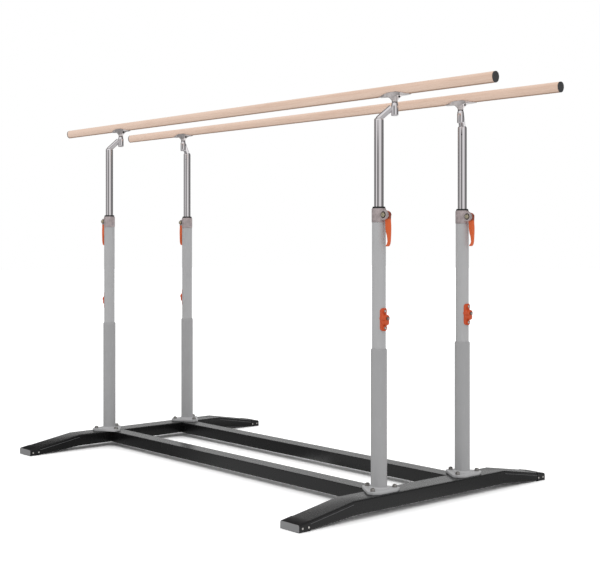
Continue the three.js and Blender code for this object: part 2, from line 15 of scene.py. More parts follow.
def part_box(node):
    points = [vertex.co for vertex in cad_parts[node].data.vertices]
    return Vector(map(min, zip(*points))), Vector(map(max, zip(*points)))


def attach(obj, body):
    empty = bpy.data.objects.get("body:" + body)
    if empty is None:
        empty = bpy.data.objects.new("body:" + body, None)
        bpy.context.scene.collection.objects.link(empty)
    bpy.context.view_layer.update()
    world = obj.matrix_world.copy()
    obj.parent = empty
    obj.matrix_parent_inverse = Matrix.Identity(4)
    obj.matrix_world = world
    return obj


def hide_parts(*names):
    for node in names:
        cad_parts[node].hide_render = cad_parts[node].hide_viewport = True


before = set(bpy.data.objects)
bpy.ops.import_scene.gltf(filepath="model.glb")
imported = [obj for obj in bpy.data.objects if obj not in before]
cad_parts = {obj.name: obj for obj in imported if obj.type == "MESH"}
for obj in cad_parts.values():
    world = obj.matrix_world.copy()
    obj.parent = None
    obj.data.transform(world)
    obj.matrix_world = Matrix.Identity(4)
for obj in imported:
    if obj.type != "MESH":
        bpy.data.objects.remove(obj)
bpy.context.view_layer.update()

log = logging.getLogger("parallel_bars")

MM = 0.001
TINY = 1e-6
CRISP = 32.0
RIM_TURN = 50.0
WAYS = (-1, 1)
ALONG = (1, 0, 0)
ACROSS = (0, 1, 0)
Mesh = bpy.types.Mesh
Point = tuple[float, float]
Triple = tuple[float, float, float]
Colour = Triple
Bend = tuple[Point, Point, int]


class Plane(Enum):
    """The plane that an outline is drawn in, as the order in which across, up and depth make a place."""

    XY = (0, 1, 2)
    XZ = (0, 2, 1)
    YZ = (2, 0, 1)

    def point(self, across: float, up: float, depth: float) -> Vector:
        """Returns the place of an outline point at a depth through the plane."""
        return Vector([(across, up, depth)[i] for i in self.value])


class Facing(Enum):
    """A way along an axis, 1 or -1."""

    @property
    def word(self) -> str:
        """The word that stands for it in names."""
        return self.name.lower()

    @property
    def turn(self) -> Matrix:
        """The turn about Z that makes a fitting face this way."""
        return Matrix.Rotation(0 if self.value == 1 else math.pi, 4, "Z")


class End(Facing):
    """The two ends of the bars, with the direction that each faces along X."""

    NEAR = 1
    FAR = -1


class Side(Facing):
    """The two long sides of the bars, with the direction that each faces along Y."""

    FRONT = -1
    BACK = 1


# Shapes


def clamped(share: float) -> float:
    """Returns a share held between 0 and 1."""
    return min(1.0, max(0.0, share))


def tapered(share: float, start: float, run: float, power: float) -> float:
    """Returns how far a share has come through a taper, from 0 to 1."""
    return clamped((share - start) / run) ** power


def turns(sides: int) -> list[float]:
    """Returns the angles of the corners of a regular shape, in radians."""
    return [math.tau * i / sides for i in range(sides)]


def polar(radius: float, angle: float) -> Point:
    """Returns the point at a radius and an angle in radians."""
    return radius * math.cos(angle), radius * math.sin(angle)


def rectangle(left: float, right: float, low: float, high: float) -> list[Point]:
    """Returns the corners of a rectangle in order."""
    return [(left, low), (right, low), (right, high), (left, high)]


def arc(centre: Point, radius: float, start: float, stop: float, steps: int) -> list[Point]:
    """Returns points along an arc, with its angles in degrees."""
    spots = [polar(radius, math.radians(start + (stop - start) * i / steps)) for i in range(steps + 1)]
    return [(centre[0] + x, centre[1] + y) for x, y in spots]


def curve(start: Point, pull: Point, stop: Point, steps: int) -> list[Point]:
    """Returns points along a curve that leaves start and meets stop, pulled towards a third point."""
    a, b, c = Vector(start), Vector(pull), Vector(stop)
    return [tuple(a.lerp(b, i / steps).lerp(b.lerp(c, i / steps), i / steps)) for i in range(steps + 1)]


def path(start: Sequence[Point], bends: Sequence[Bend]) -> list[Point]:
    """Carries an outline on through a chain of curves.

    Args:
        start: The points so far.
        bends: The pull, the stop and the steps of each curve.

    Returns:
        All the points.
    """
    made = list(start)
    for pull, stop, steps in bends:
        made += curve(made[-1], pull, stop, steps)[1:]
    return made


def rounded(points: Sequence[Point], radius: float, steps: int = 5, closed: bool = True) -> list[Point]:
    """Rounds the corners of an outline or profile.

    Args:
        points: Corners in order.
        radius: Rounding of each corner in millimetres.
        steps: Points put in place of each corner, less one.
        closed: Whether the last corner joins the first.

    Returns:
        The corners with each one replaced by a short curve.
    """
    made: list[Point] = []
    for i, corner in enumerate(points):
        if not closed and i in (0, len(points) - 1):
            made.append(corner)
            continue
        here = Vector(corner)
        before = Vector(points[i - 1]) - here
        after = Vector(points[(i + 1) % len(points)]) - here
        most = 0.49 * min(before.length, after.length)
        reach = min(radius / math.tan(before.angle(after) / 2), most)
        made += curve(here + before.normalized() * reach, here, here + after.normalized() * reach, steps)
    return made


@dataclass
class Form:
    """A closed body made of rings of points, in millimetres, with the rounding of its rims."""

    rings: list[list[Vector]]
    edge: float = 0.0
    steps: int = 3

    @classmethod
    def turned(
        cls, profile: Sequence[Point], sides: int = 72, ripple: Callable[[float], float] = lambda angle: 0.0
    ) -> "Form":
        """Turns a profile about Z.

        Args:
            profile: Pairs of radius and height, starting and ending on the axis or closing on itself.
            sides: Faces round the axis.
            ripple: Extra radius for an angle in radians.

        Returns:
            The turned form.
        """
        rings = []
        for radius, height in profile:
            if radius < TINY:
                rings.append([Vector((0, 0, height))])
            else:
                spots = [polar(radius + ripple(turn), turn) for turn in turns(sides)]
                rings.append([Vector((*spot, height)) for spot in spots])
        return cls(rings)

    @classmethod
    def tube(cls, wall: Sequence[Point], sides: int = 96, **options: Any) -> "Form":
        """Turns the closed section of a wall about Z, with the options of turned."""
        return cls.turned([*wall, wall[0]], sides, **options)

    @classmethod
    def rod(cls, radius: float, start: float, stop: float, sides: int = 48, edge: float = 0.0) -> "Form":
        """Returns a cylinder along Z with slightly rounded rims."""
        profile = [(0.0, start), (radius, start), (radius, stop), (0.0, stop)]
        return cls.turned(rounded(profile, edge, 3, closed=False) if edge else profile, sides)

    @classmethod
    def pushed(
        cls, outline: Sequence[Point], plane: Plane, start: float, stop: float, edge: float = 0.0,
        steps: int = 3
    ) -> "Form":
        """Pushes an outline through its plane, with its two rims rounded by edge."""
        return cls([[plane.point(a, b, depth) for a, b in outline] for depth in (start, stop)], edge, steps)

    def moved(self, x: float = 0.0, y: float = 0.0, z: float = 0.0) -> "Form":
        """Returns the form moved by millimetres."""
        return self.placed(Matrix.Translation((x, y, z)))

    def along(self, axis: Vector | Triple) -> "Form":
        """Returns the form turned so that its Z runs along an axis."""
        return self.placed(Vector((0, 0, 1)).rotation_difference(Vector(axis)).to_matrix().to_4x4())

    def placed(self, matrix: Matrix) -> "Form":
        """Returns the form put in place by a matrix in millimetres."""
        return Form([[matrix @ spot for spot in ring] for ring in self.rings], self.edge, self.steps)

    def closes(self) -> bool:
        """Tells whether the last ring lies on the first, as in a tube with a wall."""
        first, last = self.rings[0], self.rings[-1]
        return len(first) == len(last) > 1 and (first[0] - last[0]).length < TINY

    def mesh(self, name: str) -> Mesh:
        """Builds the form as a mesh in metres, with its faces turned outwards."""
        work = bmesh.new()
        loop = self.closes()
        rings = self.rings[:-1] if loop else self.rings
        rows = [[work.verts.new(spot * MM) for spot in ring] for ring in rings]
        for low, high in zip(rows, rows[1:] + rows[:1] if loop else rows[1:]):
            count = max(len(low), len(high))
            for i in range(count):
                j = (i + 1) % count
                corners = [low[i % len(low)], low[j % len(low)], high[j % len(high)], high[i % len(high)]]
                work.faces.new(list(dict.fromkeys(corners)))
        for row in () if loop else (rows[0], rows[-1]):
            if len(row) > 2:
                work.faces.new(row)
        bmesh.ops.recalc_face_normals(work, faces=work.faces)
        return meshed(name, work)


def meshed(name: str, work: bmesh.types.BMesh) -> Mesh:
    """Turns worked geometry into a mesh."""
    mesh = bpy.data.meshes.new(name)
    work.to_mesh(mesh)
    work.free()
    return mesh


def linked(name: str, data: bpy.types.ID) -> bpy.types.Object:
    """Makes an object and links it to the scene."""
    made = bpy.data.objects.new(name, data)
    bpy.context.scene.collection.objects.link(made)
    return made


def smoothed(mesh: Mesh, crisp: float = CRISP) -> Mesh:
    """Shades a mesh smoothly, apart from edges that turn by more degrees than crisp."""
    mesh.shade_smooth()
    mesh.set_sharp_from_angle(angle=math.radians(crisp))
    return mesh


def helper(name: str, form: Form | Mesh) -> bpy.types.Object:
    """Makes a passing object.

    Args:
        name: Its name.
        form: A form, whose rims are then rounded, or a ready mesh.

    Returns:
        The object.
    """
    if isinstance(form, Mesh):
        return linked(name, form)
    made = linked(name, form.mesh(name))
    if form.edge:
        rim = made.modifiers.new("rim", "BEVEL")
        rim.width, rim.segments = form.edge * MM, form.steps
        rim.limit_method, rim.angle_limit = "ANGLE", math.radians(RIM_TURN)
    return made


def shaped(
    name: str, base: Form | Mesh, added: Sequence[Form] = (), removed: Sequence[Form] = (),
    crisp: float = CRISP
) -> Mesh:
    """Joins and cuts forms into the mesh of one piece.

    Args:
        name: The mesh's name.
        base: The first form, or a mesh made before.
        added: Forms joined to it.
        removed: Forms cut out of the result.
        crisp: Edges that turn by more degrees than this stay crisp.

    Returns:
        The finished mesh, smooth-shaded.
    """
    helpers = [helper(name, base)]
    for forms, operation in ((added, "UNION"), (removed, "DIFFERENCE")):
        for form in forms:
            helpers.append(helper(name, form))
            step = helpers[0].modifiers.new(operation, "BOOLEAN")
            step.operation, step.solver, step.object = operation, "EXACT", helpers[-1]
    bpy.context.view_layer.update()
    ready = helpers[0].evaluated_get(bpy.context.evaluated_depsgraph_get())
    mesh = bpy.data.meshes.new_from_object(ready)
    for made in helpers:
        bpy.data.objects.remove(made)
    return smoothed(mesh, crisp)


def gathered(name: str, forms: Sequence[Form]) -> Mesh:
    """Makes one mesh of several forms that don't touch, such as a set of bolts."""
    work = bmesh.new()
    for form in forms:
        work.from_mesh(shaped(name, form))
    return smoothed(meshed(name, work))


def hex_form(across: float, start: float, stop: float) -> Form:
    """Makes a hexagon along Z with its outer corners chamfered, as on a bolt head.

    Args:
        across: The width across its flats.
        start: The height of its foot.
        stop: The height of its outer face.

    Returns:
        The hexagon.
    """
    sixth, chamfer, face, sides = math.pi / 3, 1.6, 0.95, 48
    rings = []
    for height, limit in ((start, 1 / math.sqrt(3)), (stop - chamfer, 1 / math.sqrt(3)), (stop, face / 2)):
        ring = []
        for turn in turns(sides):
            bend = abs((turn + sixth / 2) % sixth - sixth / 2)
            share = min(0.5 / math.cos(abs(bend - sixth / 2)), limit)
            ring.append(Vector((*polar(across * share, turn), height)))
        rings.append(ring)
    return Form([[Vector((0, 0, start))], *rings, [Vector((0, 0, stop))]])


# Nodes


class Value:
    """One output of a node, whose arithmetic adds Math nodes."""

    def __init__(self, nodes: "Nodes", socket: bpy.types.NodeSocket) -> None:
        """Keeps the tree and the socket."""
        self.nodes, self.socket = nodes, socket

    def worked(self, operation: str, first: Any, second: Any) -> "Value":
        """Returns the result of a Math node on two values."""
        return self.nodes.node("ShaderNodeMath", {0: first, 1: second}, operation=operation)

    def __add__(self, other: Any) -> "Value":
        """Returns self + other."""
        return self.worked("ADD", self, other)

    def __mul__(self, other: Any) -> "Value":
        """Returns self * other."""
        return self.worked("MULTIPLY", self, other)

    __radd__, __rmul__ = __add__, __mul__

    def __sub__(self, other: Any) -> "Value":
        """Returns self - other."""
        return self.worked("SUBTRACT", self, other)

    def __rsub__(self, other: Any) -> "Value":
        """Returns other - self."""
        return self.worked("SUBTRACT", other, self)

    def __truediv__(self, other: Any) -> "Value":
        """Returns self / other."""
        return self.worked("DIVIDE", self, other)

    def between(self, low: float, high: float) -> "Value":
        """Returns 0 at low, 1 at high and a smooth rise between."""
        inputs = {"Value": self, 1: low, 2: high}
        return self.nodes.node("ShaderNodeMapRange", inputs, interpolation_type="SMOOTHSTEP")


class Nodes:
    """A node tree that is filled by short calls."""

    def __init__(self, tree: bpy.types.NodeTree) -> None:
        """Keeps the tree."""
        self.tree = tree

    def node(self, kind: str, inputs: dict[int | str, Any] | None = None, output: int | str = 0,
             **settings: Any) -> Value:
        """Adds a node.

        Args:
            kind: The node's type.
            inputs: Values or links of its sockets.
            output: The socket that is handed back.
            settings: Its settings.

        Returns:
            The chosen output.
        """
        made = self.tree.nodes.new(kind)
        for name, setting in settings.items():
            setattr(made, name, setting)
        for key, value in (inputs or {}).items():
            self.feed(made.inputs[key], value)
        return Value(self, made.outputs[output])

    def feed(self, socket: bpy.types.NodeSocket, value: Any) -> None:
        """Links a value to a socket, or sets the socket."""
        if isinstance(value, Value):
            self.tree.links.new(value.socket, socket)
        elif isinstance(value, tuple) and socket.type == "RGBA":
            socket.default_value = (*value, 1.0)
        else:
            socket.default_value = value


class Shader(Nodes):
    """The node tree of one material or of the world."""

    def __init__(self, owner: bpy.types.Material | bpy.types.World) -> None:
        """Takes over the owner's nodes."""
        owner.use_nodes = True
        super().__init__(owner.node_tree)
        self.owner = owner

    def mix(self, share: Any, first: Any, second: Any) -> Value:
        """Returns a colour between two, by a share."""
        return self.node("ShaderNodeMix", {0: share, 6: first, 7: second}, 2, data_type="RGBA")

    def ramp(self, share: Value, stops: Sequence[Point]) -> Value:
        """Returns a grey that follows a share through stops, each a place and a level."""
        made = self.node("ShaderNodeValToRGB", {0: share})
        elements = made.socket.node.color_ramp.elements
        while len(elements) < len(stops):
            elements.new(0.5)
        for element, (place, level) in zip(elements, stops):
            element.position, element.color = place, (*grey(level), 1.0)
        return made

    def place(self, stretch: Triple = (1.0, 1.0, 1.0), kind: str = "Object") -> Value:
        """Returns coordinates on the piece in metres, stretched along its axes."""
        inputs = {0: self.node("ShaderNodeTexCoord", output=kind), 1: stretch}
        return self.node("ShaderNodeVectorMath", inputs, operation="MULTIPLY")

    def noise(self, scale: float, detail: float = 3.0, stretch: Triple = (1.0, 1.0, 1.0)) -> Value:
        """Returns a cloudy pattern from 0 to 1, with scale in waves to the metre."""
        inputs = {"Vector": self.place(stretch), "Scale": scale, "Detail": detail}
        return self.node("ShaderNodeTexNoise", inputs)

    def axis(self, name: str, vector: Value | None = None) -> Value:
        """Returns one coordinate, X, Y or Z."""
        return self.node("ShaderNodeSeparateXYZ", {0: vector or self.place()}, name)

    def bump(self, height: Value, depth: float, strength: float = 1.0) -> Value:
        """Returns a normal from a height pattern whose full depth is in metres."""
        return self.node("ShaderNodeBump", {"Height": height, "Distance": depth, "Strength": strength})

    def surface(self, **sockets: Any) -> None:
        """Sets sockets of the main shader, with spaces in their names written as underscores."""
        for name, value in sockets.items():
            self.feed(self.tree.nodes["Principled BSDF"].inputs[name.replace("_", " ")], value)


def softened() -> bpy.types.NodeTree:
    """Makes the modifier that shades a kept CAD solid smoothly between its real edges.

    Returns:
        A geometry node group that welds corners and keeps its sharper edges crisp.
    """
    group = bpy.data.node_groups.new("soft_shading", "GeometryNodeTree")
    for way in ("INPUT", "OUTPUT"):
        group.interface.new_socket("Geometry", in_out=way, socket_type="NodeSocketGeometry")
    nodes = Nodes(group)
    start = nodes.node("NodeGroupInput")
    bare = nodes.node("GeometryNodeRemoveAttribute", {"Geometry": start, "Name": "custom_normal"})
    weld = nodes.node("GeometryNodeMergeByDistance", {"Geometry": bare, "Distance": TINY})
    faces = nodes.node("GeometryNodeSetShadeSmooth", {0: weld}, domain="FACE")
    angle = nodes.node("GeometryNodeInputMeshEdgeAngle")
    limit = math.radians(CRISP)
    above = nodes.node("FunctionNodeCompare", {"A": angle, "B": limit}, operation="GREATER_THAN")
    edges = nodes.node("GeometryNodeSetShadeSmooth", {0: faces, "Selection": above, "Shade Smooth": False},
                       domain="EDGE")
    nodes.feed(group.nodes.new("NodeGroupOutput").inputs[0], edges)
    return group


def grey(level: float) -> Colour:
    """Returns a linear grey."""
    return (level, level, level)


def tone(*levels: float) -> Colour:
    """Returns a linear colour from the 0 to 255 numbers of a screen colour."""
    shares = [level / 255 for level in levels]
    return tuple(share / 12.92 if share <= 0.04045 else ((share + 0.055) / 1.055) ** 2.4 for share in shares)


# Finishes


@dataclass(frozen=True)
class Finish:
    """What all finishes share: a name, a colour, a gloss and the record's slot where it has another name."""

    name: str
    colour: Colour
    roughness: float = 0.4
    slot: str = ""
    specular: float = 0.5

    def material(self) -> bpy.types.Material:
        """Makes the material with its nodes."""
        shader = Shader(bpy.data.materials.new(self.name))
        self.paint(shader)
        return shader.owner

    def shade(self, share: float) -> Colour:
        """Returns the colour made lighter or darker."""
        return tuple(part * share for part in self.colour)

    def paint(self, shader: Shader) -> None:
        """Fills the nodes, which each kind of finish does its own way."""
        raise NotImplementedError


@dataclass(frozen=True)
class Paint(Finish):
    """Powder coat with a fine orange peel and faint handling marks."""

    peel: float = 0.00004
    worn: float = 0.12

    def paint(self, shader: Shader) -> None:
        """Fills the nodes."""
        clouds = shader.noise(9.0, 4.0)
        marks = shader.noise(60.0, 5.0, (1.0, 1.0, 0.25)).between(0.56, 0.74)
        colour = shader.mix(clouds, self.shade(1 - self.worn / 2), self.shade(1 + self.worn / 2))
        shader.surface(
            Base_Color=self.with_painted_shade(shader, shader.mix(marks * self.worn, colour, self.shade(1.5))),
            Roughness=self.roughness + marks * 0.08 + clouds * 0.04 - 0.02,
            Normal=shader.bump(shader.noise(650.0, 2.0), self.peel),
            Specular_IOR_Level=self.specular,
        )

    def with_painted_shade(self, shader: Shader, colour: Value) -> Value:
        """Returns the colour with any painted shade that this paint has; plain paint has none."""
        return colour


@dataclass(frozen=True)
class Handle(Paint):
    """Paint of a clamp lever, with painted shade on the outer rim of the hub."""

    dark: Colour = (0.1, 0.03, 0.02)
    rise: Point = (-0.027, -0.012)
    reach: Point = (0.008, 0.016)
    strength: float = 0.85

    def with_painted_shade(self, shader: Shader, colour: Value) -> Value:
        """Returns the colour with painted shade on the outer rim of the hub."""
        # Painted shade: the outer rim of the hub is mixed towards a deep red-brown.
        rim = shader.axis("Z").between(*self.rise) * shader.axis("X").between(*self.reach)
        return shader.mix(rim * self.strength, colour, self.dark)


@dataclass(frozen=True)
class Chrome(Finish):
    """Bright plating with faint wiping streaks along its length."""

    def paint(self, shader: Shader) -> None:
        """Fills the nodes."""
        streaks = shader.noise(140.0, 3.0, (1.0, 1.0, 0.06))
        smears = shader.noise(22.0, 3.0).between(0.5, 0.8)
        shader.surface(
            Base_Color=shader.mix(streaks, self.shade(0.95), self.colour),
            Metallic=1.0,
            Roughness=self.roughness + smears * 0.04 + streaks * 0.02,
            Normal=shader.bump(streaks, 0.000004, 0.4),
        )


@dataclass(frozen=True)
class Casting(Finish):
    """Blasted or polished casting with a fine grain and darker pits."""

    grain: float = 0.00012
    metal: float = 0.85

    def paint(self, shader: Shader) -> None:
        """Fills the nodes."""
        grain = shader.noise(480.0, 4.0)
        blotches = shader.noise(45.0, 4.0)
        shader.surface(
            Base_Color=shader.mix(blotches.between(0.3, 0.7), self.shade(0.84), self.shade(1.12)),
            Metallic=self.metal,
            Roughness=self.roughness + blotches * 0.12 - 0.06,
            Normal=shader.bump(grain, self.grain, 0.7),
        )


@dataclass(frozen=True)
class Plating(Finish):
    """Plated or machined steel with faint blotches and fine turning lines."""

    tint: Colour = (0.6, 0.5, 0.3)
    metal: float = 1.0

    def paint(self, shader: Shader) -> None:
        """Fills the nodes."""
        blotches = shader.noise(160.0, 3.0).between(0.35, 0.7)
        lines = shader.noise(1500.0, 2.0, (0.2, 1.0, 1.0))
        shader.surface(
            Base_Color=shader.mix(blotches * 0.5, self.colour, self.tint),
            Metallic=self.metal,
            Roughness=self.roughness + blotches * 0.1,
            Normal=shader.bump(lines, 0.00001, 0.5),
        )


@dataclass(frozen=True)
class Moulding(Finish):
    """Moulded plastic or rubber with a fine even texture and scuffed spots."""

    texture: float = 0.00003
    scuffed: float = 0.1

    def paint(self, shader: Shader) -> None:
        """Fills the nodes."""
        scuffs = shader.noise(75.0, 5.0).between(0.55, 0.8)
        shader.surface(
            Base_Color=shader.mix(scuffs * self.scuffed, self.colour, self.shade(1.6)),
            Roughness=self.roughness + scuffs * 0.1,
            Normal=shader.bump(shader.noise(1100.0, 2.0), self.texture),
        )


@dataclass(frozen=True)
class Ash(Finish):
    """Pale wood whose grain and pores run along the rail, beneath a satin seal, with painted shade along its
    underside.
    """

    late: Colour = (0.5, 0.36, 0.25)
    under: Colour = (0.3, 0.2, 0.15)
    shadow: Point = (-0.0185, -0.0235)

    def paint(self, shader: Shader) -> None:
        """Fills the nodes."""
        bands = shader.noise(36.0, 3.0, (0.02, 1.0, 1.0))
        fibres = shader.noise(420.0, 3.0, (0.02, 1.0, 1.0))
        pores = shader.noise(900.0, 1.0, (0.03, 1.0, 1.0)).between(0.62, 0.72)
        figure = bands * 0.65 + fibres * 0.35
        light = shader.mix(shader.noise(2.5, 2.0), self.shade(0.97), self.shade(1.03))
        grained = shader.mix(figure.between(0.42, 0.7) * 0.45, light, self.late)
        # Painted shade: the lowest strip of the section is mixed towards a deeper brown.
        grained = shader.mix(shader.axis("Z").between(*self.shadow) * 0.8, grained, self.under)
        shader.surface(
            Base_Color=shader.mix(pores * 0.35, grained, self.late),
            Roughness=self.roughness + fibres * 0.12,
            Normal=shader.bump(fibres - pores * 0.5, 0.00003, 0.6),
            Specular_IOR_Level=self.specular,
        )


FINISHES: tuple[Finish, ...] = (
    # The rail wood's underside colour is painted shade.
    Ash("rail_wood", tone(237, 210, 192), 0.5, late=tone(200, 162, 138), under=tone(140, 106, 84),
        specular=0.12),
    Chrome("bright_chrome", tone(232, 228, 230), 0.04),
    Paint("black_paint", tone(11, 11, 12), 0.25, worn=0.3, specular=0.56),
    Paint("grey_paint", tone(178, 178, 179), 0.42),
    # A darker copy of the grey paint: painted shade on the lower sleeve.
    Paint("sleeve_grey", tone(165, 165, 166), 0.42, slot="grey_paint"),
    Casting("cast_alloy", tone(186, 174, 174), 0.46, metal=0.5),
    Casting("polished_alloy", tone(226, 219, 218), 0.16, grain=0.00003, metal=0.85),
    Plating("zinc_plate", tone(236, 226, 200), 0.12, tint=tone(200, 176, 130), metal=0.9),
    Plating("bright_zinc", tone(226, 224, 220), 0.22, slot="plain_steel", tint=tone(190, 184, 176),
            metal=0.5),
    Plating("plain_steel", tone(190, 190, 194), 0.3, tint=tone(150, 150, 155)),
    Plating("dark_steel", tone(168, 165, 162), 0.13, slot="plain_steel", tint=tone(104, 100, 96)),
    Paint("end_grey", tone(134, 134, 135), 0.5, slot="grey_paint"),
    # A lighter copy of the black paint: a painted highlight along the foot seams.
    Paint("seam_paint", tone(88, 88, 90), 0.3, slot="black_paint"),
    Moulding("shoe_plastic", tone(24, 24, 25), 0.34, slot="black_rubber"),
    Moulding("orange_plastic", tone(204, 80, 34), 0.4),
    # The lever paint carries painted shade on the outer rim of its hub.
    Handle("orange_paint", tone(220, 96, 40), 0.36, dark=tone(112, 46, 30)),
    Moulding("dark_plastic", tone(58, 58, 60), 0.48),
    Moulding("black_rubber", tone(30, 30, 31), 0.62, texture=0.00006),
)


class Finishes:
    """The materials by name, and the dressing of pieces and kept CAD nodes."""

    def __init__(self, finishes: Sequence[Finish]) -> None:
        """Makes every material once."""
        self.materials = {finish.name: finish.material() for finish in finishes}
        self.slots = {finish.name: finish.slot or finish.name for finish in finishes}
        self.softener = softened()

    def piece(self, owner: str, part: str, mesh: Mesh, finish: str, matrix: Matrix, node: str = "",
              body: str = "base") -> None:
        """Puts a piece in place.

        Args:
            owner: The words that start its name.
            part: The words that end its name.
            mesh: Its mesh, which several pieces may share.
            finish: The name of its finish.
            matrix: Its place in metres.
            node: The words that end the name of the owner's CAD node that it stands for, if any.
            body: The CAD body that it rides.
        """
        if not mesh.materials:
            mesh.materials.append(self.materials[finish])
        made = linked(f"{owner}_{part}", mesh)
        made.matrix_world = matrix
        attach(made, body)
        if node:
            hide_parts(f"{owner}_{node}")
        log.info("%s rides %s in %s", made.name, body, finish)

    def keep(self, node: str, finish: str) -> None:
        """Gives a kept CAD node its finish and soft shading."""
        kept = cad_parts[node]
        if not kept.material_slots:
            kept.data.materials.append(None)
        for place in kept.material_slots:
            place.link, place.material = "OBJECT", self.materials[finish]
        kept.modifiers.new("soft", "NODES").node_group = self.softener
        kept.modifiers.new("flat_faces", "WEIGHTED_NORMAL").keep_sharp = True
        log.info("%s keeps its solid in %s", node, finish)


# Sub-assemblies


def middle(node: str) -> Vector:
    """Returns the middle of a CAD node at rest, in metres."""
    low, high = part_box(node)
    return (low + high) / 2


def floor_place(node: str) -> Matrix:
    """Returns the place on the floor below the middle of a CAD node."""
    return Matrix.Translation((*middle(node).xy, 0.0))


@dataclass(frozen=True)
class Post:
    """Where one post stands and how its fittings face."""

    end: End
    side: Side

    @property
    def name(self) -> str:
        """The words that start the names of its pieces."""
        return f"{self.end.word}_{self.side.word}"

    @property
    def place(self) -> Matrix:
        """The frame of the post's fixed fittings."""
        return floor_place(f"{self.name}_column") @ self.end.turn

    @property
    def saddle(self) -> Matrix:
        """The frame of the saddle, on the axis of its swivel pin."""
        return floor_place(f"{self.name}_saddle")

    @property
    def crank(self) -> Matrix:
        """The frame of the crank, whose arm points along its X."""
        axis = floor_place(f"{self.name}_column")
        way = self.saddle.translation - axis.translation
        return axis @ Matrix.Rotation(math.atan2(way.y, way.x), 4, "Z")


POSTS = tuple(Post(end, side) for end in End for side in Side)


@dataclass
class Rails:
    """The two wooden rails and their end caps."""

    length: float = 3483.4
    half_height: float = 25.0
    half_width: float = 20.0
    fullness: float = 0.06
    edge: float = 0.8
    bays: int = 40
    cap: float = 8.0
    cap_edge: float = 0.6
    cap_flat: float = 0.5
    cap_round: float = 3.0

    def section(self, grow: float = 0.0, sides: int = 96) -> list[Point]:
        """Returns the egg-like section about its own middle, made larger by grow."""
        wide, high = self.half_width + grow, self.half_height + grow
        made = []
        for turn in turns(sides):
            full = (1 + self.fullness * (math.sin(turn) - 1)) / (1 - self.fullness)
            made.append((wide * math.cos(turn) * full, high * math.sin(turn)))
        return made

    def rings(self, rows: Sequence[Point]) -> Form:
        """Returns a form with the section at each row's place, grown by its second number."""
        return Form([[Plane.YZ.point(y, z, x) for y, z in self.section(grow)] for x, grow in rows])

    def timber(self) -> Mesh:
        """Builds a rail."""
        half = self.length / 2
        flat = half - self.edge
        rows = [(flat * (2 * i / self.bays - 1), 0.0) for i in range(self.bays + 1)]
        return shaped("rail_wood", self.rings([(-half, -self.edge), *rows, (half, -self.edge)]))

    def cover(self) -> Mesh:
        """Builds an end cap with a rounded outer rim."""
        half, bend = self.cap / 2, self.cap_round
        rows = [(-half, -self.cap_edge), (self.cap_edge - half, 0.0), (self.cap_flat, 0.0)]
        return shaped("rail_cap", self.rings(rows + arc((half - bend, -bend), bend, 90, 0, 6)))

    def build(self, finishes: Finishes) -> None:
        """Builds and places both rails with their caps."""
        wood, cap = self.timber(), self.cover()
        for side in Side:
            body = f"{side.word}_rail_set"
            place = Matrix.Translation(middle(f"{side.word}_rail"))
            finishes.piece(side.word, "rail_timber", wood, "rail_wood", place, "rail", body)
            for end in End:
                name = Post(end, side).name
                place = Matrix.Translation(middle(f"{name}_rail_cap")) @ end.turn
                finishes.piece(name, "rail_cap_cover", cap, "dark_plastic", place, "rail_cap", body)


